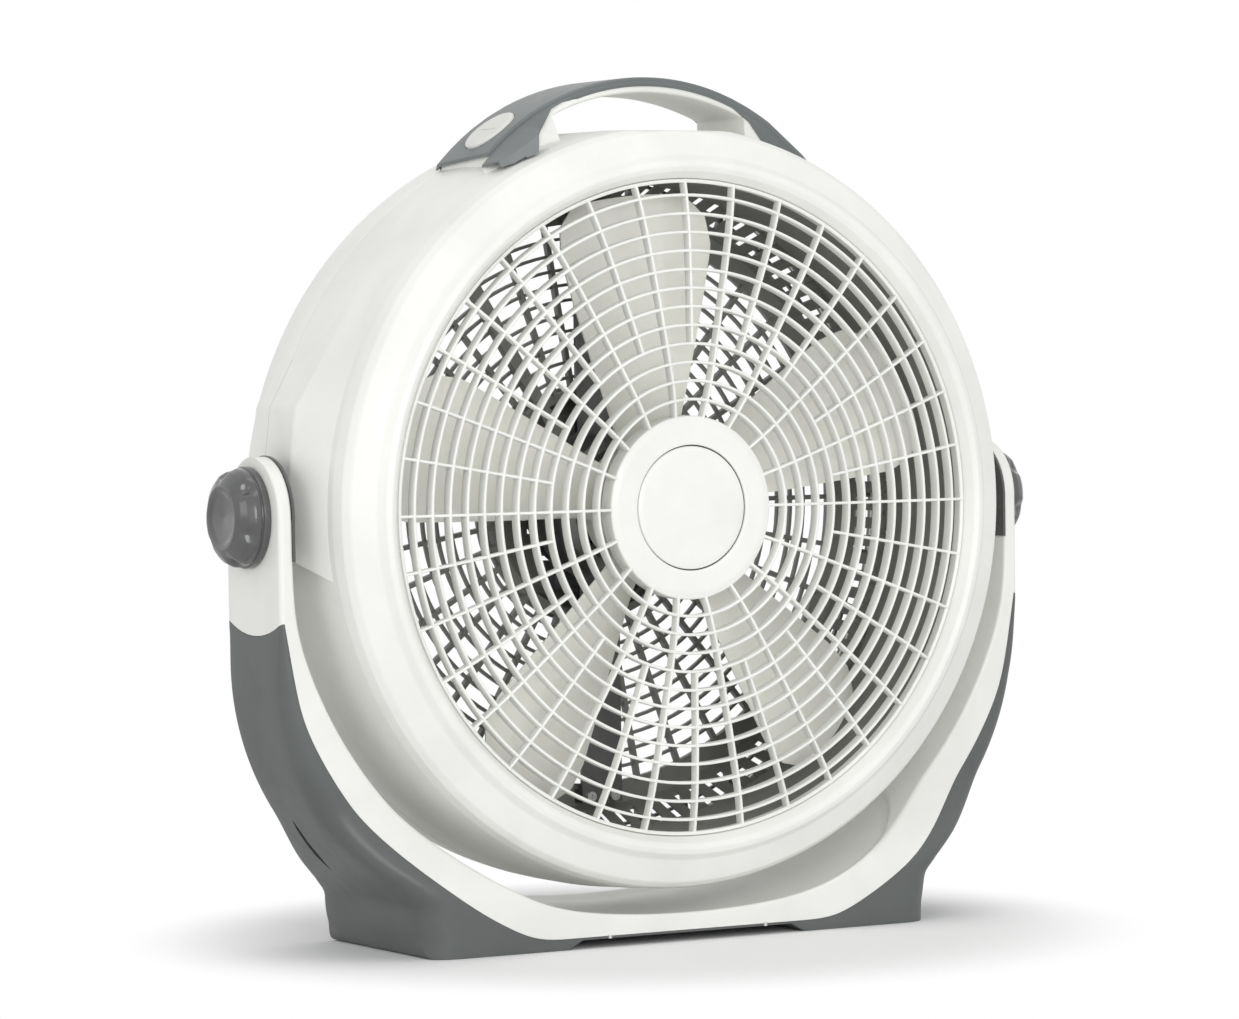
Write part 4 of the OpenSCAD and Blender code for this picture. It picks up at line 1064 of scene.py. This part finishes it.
def band_form(grow=0.0):
    """The white moulding's room: within the band's circles and the outer skin, above the belly."""
    path = outer_path()
    angles, radii = polar(path[path[:, 1] > -240])
    points = []
    for angle in np.radians(np.arange(0.0, 89.1, 1.0)):
        s, c = math.sin(angle), math.cos(angle)
        rho = soft_least(2.0, 292.6, float(from_axis(angle, *BAND_EDGE)), 283.4 / (s + 0.17 * c))
        if angle > math.radians(41):
            rho = min(rho, float(np.interp(angle, angles[::-1], radii[::-1])) - 2.6)
        rho = soft_least(2.5, rho, (-BELLY_Z - 2 + 0.6) / c) + grow
        rho = min(rho, (-BELLY_Z - 1.6 + grow) / c)
        points.append((rho * s, -rho * c))
    right = points + [(ARM_OUT - 2.6 + grow, 60)]
    left = [(-x, z) for x, z in reversed(right)]
    return Form().slab(right[1:] + left[:-1] + [(0, points[0][1])], -100, 100)


def lobe_form(radius):
    """Room of the white arms round the pivots, down to their curved lower edge."""
    return Form().slab(arc((-5, 9), radius, 0, 360, 144)[:-1], -290, 290, "X")


def wrap_slot_form(side):
    """Long thin slot low on the outer side of the wrap."""
    outline = rounded([(-25, 0, 0.6), (-14, 2.2, 8), (10, 2.8, 8), (26, 0, 0.6), (10, -2.8, 8),
                       (-14, -2.2, 8)])
    form = Form().slab(outline, -7, 7, "X")
    along = Vector((-33, 10, -36)).normalized()
    across = Vector((36, 0, -33)).normalized().cross(along).normalized()
    turn = Matrix((along.cross(across), along, across)).transposed().to_4x4()
    form.moved(Matrix.Translation((229, 15, -210)) @ turn)
    if side < 0:
        form.moved(FLIP)
    return form


class FLOORFAN_OT_base(bpy.types.Operator):
    """Makes the base: the white cradle and the grey wrap round it"""
    bl_idname = "floorfan.base"
    bl_label = "Base"

    def execute(self, context):
        wrap = piece("base_wrap_grey", base_form())
        carve(wrap, band_form(0.25))
        carve(wrap, lobe_form(83.2))
        for side in (-1, 1):
            carve(wrap, wrap_slot_form(side))
        place(wrap, "trim", "base", "base_wrap")
        cradle = piece("base_cradle_white", base_form())
        room = piece("room", band_form())
        carve(room, lobe_form(82.8), "UNION")
        combine(cradle, room, "INTERSECT")
        place(cradle, "white", "base", "base_cradle")
        # Dark rims between each pod and its arm: partly the dark friction insert seen there, partly
        # painted shade of the gap between pod and arm.
        for side in (-1, 1):
            outline = [(34.6, -27), *arc((-4, 0), 38.7, 0, 180, 40), (-42.6, -27)]
            ends = sorted((side * RIM_IN, side * RIM_OUT))
            rim = Form().slab(outline, *ends, "X")
            word = "left" if side < 0 else "right"
            place(piece(f"friction_rim_and_gap_shade_{word}", rim), "knob", "base")
        return {"FINISHED"}


# ---- Stage ----

def make_world(sky):
    """Even light from all round; the camera and clear reflections see plain white instead."""
    world = bpy.data.worlds.new("studio")
    bpy.context.scene.world = world
    world.use_nodes = True
    graph = Graph(world.node_tree)
    graph.tree.nodes.remove(graph.tree.nodes["Background"])
    camera, glossy, through = (graph.add("ShaderNodeLightPath", out=f"Is {ray} Ray")
                               for ray in ("Camera", "Glossy", "Transmission"))
    light, plain = (graph.add("ShaderNodeBackground", None,
                              {"Color": (1, 1, 1, 1), "Strength": strength})
                    for strength in (sky, 1.0))
    seen = camera.most(glossy).most(through)
    graph.show(graph.add("ShaderNodeMixShader", None, {0: seen, 1: light, 2: plain}),
               "World Output")


def make_floor():
    """A pale floor that keeps the fan's shadow and runs out to plain white."""
    bpy.ops.mesh.primitive_circle_add(vertices=96, radius=6, fill_type="NGON")
    floor = bpy.context.object
    floor.name = "studio_floor"
    floor.location.z = -0.0002
    finish = Finish("floor white", (0.9, 0.9, 0.9), 0.9, None)
    finish.surface.inputs["Specular IOR Level"].default_value = 0
    mottle = finish.noise(3, 2).ramp(0.2, 0.8)
    finish.paint(Base_Color=finish.blend(mottle, (0.9, 0.9, 0.9), (0.93, 0.93, 0.93)))
    x, y, _ = finish.parts()
    far = (x * x + y * y).ramp(0.2 ** 2, 0.34 ** 2)
    seen = finish.add("ShaderNodeLightPath", out="Is Camera Ray")
    plain = finish.add("ShaderNodeEmission", None, {"Color": (1, 1, 1, 1), "Strength": 1.0})
    surface = Wire(finish, finish.surface.outputs[0])
    finish.show(finish.add("ShaderNodeMixShader", None, {0: far * seen, 1: surface, 2: plain}),
                "Material Output")
    floor.data.materials.append(finish.material)


LAMP_AIM = Vector((0, 0, 0.28))


def make_lamp(name, place, size, power):
    data = bpy.data.lights.new(name, "AREA")
    data.shape = "SQUARE"
    data.size = size
    data.energy = power
    lamp = bpy.data.objects.new(name, data)
    bpy.context.scene.collection.objects.link(lamp)
    lamp.location = place
    lamp.rotation_euler = (LAMP_AIM - lamp.location).to_track_quat("-Z", "Y").to_euler()


def make_camera(stage):
    a, e, roll = stage.azimuth, stage.elevation, stage.roll
    back = Vector((math.sin(a) * math.cos(e), -math.cos(a) * math.cos(e), math.sin(e)))
    right = Vector((math.cos(a), math.sin(a), 0))
    up = back.cross(right)
    across = math.cos(roll) * right + math.sin(roll) * up
    upward = math.cos(roll) * up - math.sin(roll) * right
    data = bpy.data.cameras.new("camera")
    data.lens = stage.lens
    data.sensor_width = 36
    data.clip_start, data.clip_end = 0.1, 100
    camera = bpy.data.objects.new("camera", data)
    bpy.context.scene.collection.objects.link(camera)
    camera.matrix_world = (
        Matrix.Translation(PIVOT - stage.aim[0] * across - stage.aim[1] * upward
                           + stage.distance * back)
        @ Matrix((across, upward, back)).transposed().to_4x4())
    bpy.context.scene.camera = camera


class FLOORFAN_OT_stage(bpy.types.Operator):
    """Makes the floor, the studio light and the camera"""
    bl_idname = "floorfan.stage"
    bl_label = "Stage"

    def execute(self, context):
        stage = context.scene.floorfan_stage
        context.scene.view_settings.view_transform = "Standard"
        make_world(stage.sky)
        make_floor()
        make_lamp("key", (-0.9, -3.15, 0.95), 1.5, stage.key)
        make_lamp("side", (-2.9, -0.9, 1.1), 1.2, stage.key * 0.22)
        make_lamp("top", (0.1, -0.5, 2.7), 1.4, stage.key * 0.22)
        make_camera(stage)
        return {"FINISHED"}


class FLOORFAN_OT_finishes(bpy.types.Operator):
    """Makes every material and puts it on the pieces that keep their engineering shape"""
    bl_idname = "floorfan.finishes"
    bl_label = "Finishes"

    def execute(self, context):
        make_finishes(context.scene.floorfan_colours)
        for key, names in NODE_FINISH.items():
            FINISHES[key].cover(*[frame["nodes"][name] for name in names])
        left = set(frame["nodes"]) - {n for names in NODE_FINISH.values() for n in names}
        if left:
            raise RuntimeError(f"no finish for {sorted(left)}")
        return {"FINISHED"}


class FLOORFAN_PT_panel(bpy.types.Panel):
    bl_label = "Floor fan"
    bl_idname = "FLOORFAN_PT_panel"
    bl_space_type = "VIEW_3D"
    bl_region_type = "UI"
    bl_category = "Floor fan"

    def draw(self, context):
        for operator in OPERATORS:
            self.layout.operator(operator.bl_idname)
        for group in (getattr(context.scene, name) for name in GROUPS):
            box = self.layout.box()
            for name in group.bl_rna.properties.keys():
                if name not in ("rna_type", "name"):
                    box.prop(group, name)


GROUPS = {"floorfan_sizes": FLOORFAN_PG_sizes, "floorfan_colours": FLOORFAN_PG_colours,
          "floorfan_stage": FLOORFAN_PG_stage}
OPERATORS = [FLOORFAN_OT_finishes, FLOORFAN_OT_head, FLOORFAN_OT_handle, FLOORFAN_OT_grille,
             FLOORFAN_OT_fan, FLOORFAN_OT_knobs, FLOORFAN_OT_base, FLOORFAN_OT_stage]


def register():
    for cls in [*GROUPS.values(), *OPERATORS, FLOORFAN_PT_panel]:
        bpy.utils.register_class(cls)
    for name, cls in GROUPS.items():
        setattr(bpy.types.Scene, name, PointerProperty(type=cls))


def unregister():
    for name in GROUPS:
        delattr(bpy.types.Scene, name)
    for cls in reversed([*GROUPS.values(), *OPERATORS, FLOORFAN_PT_panel]):
        bpy.utils.unregister_class(cls)


def main():
    register()
    for operator in OPERATORS:
        group, name = operator.bl_idname.split(".")
        getattr(getattr(bpy.ops, group), name)()


if __name__ == "__main__":
    main()
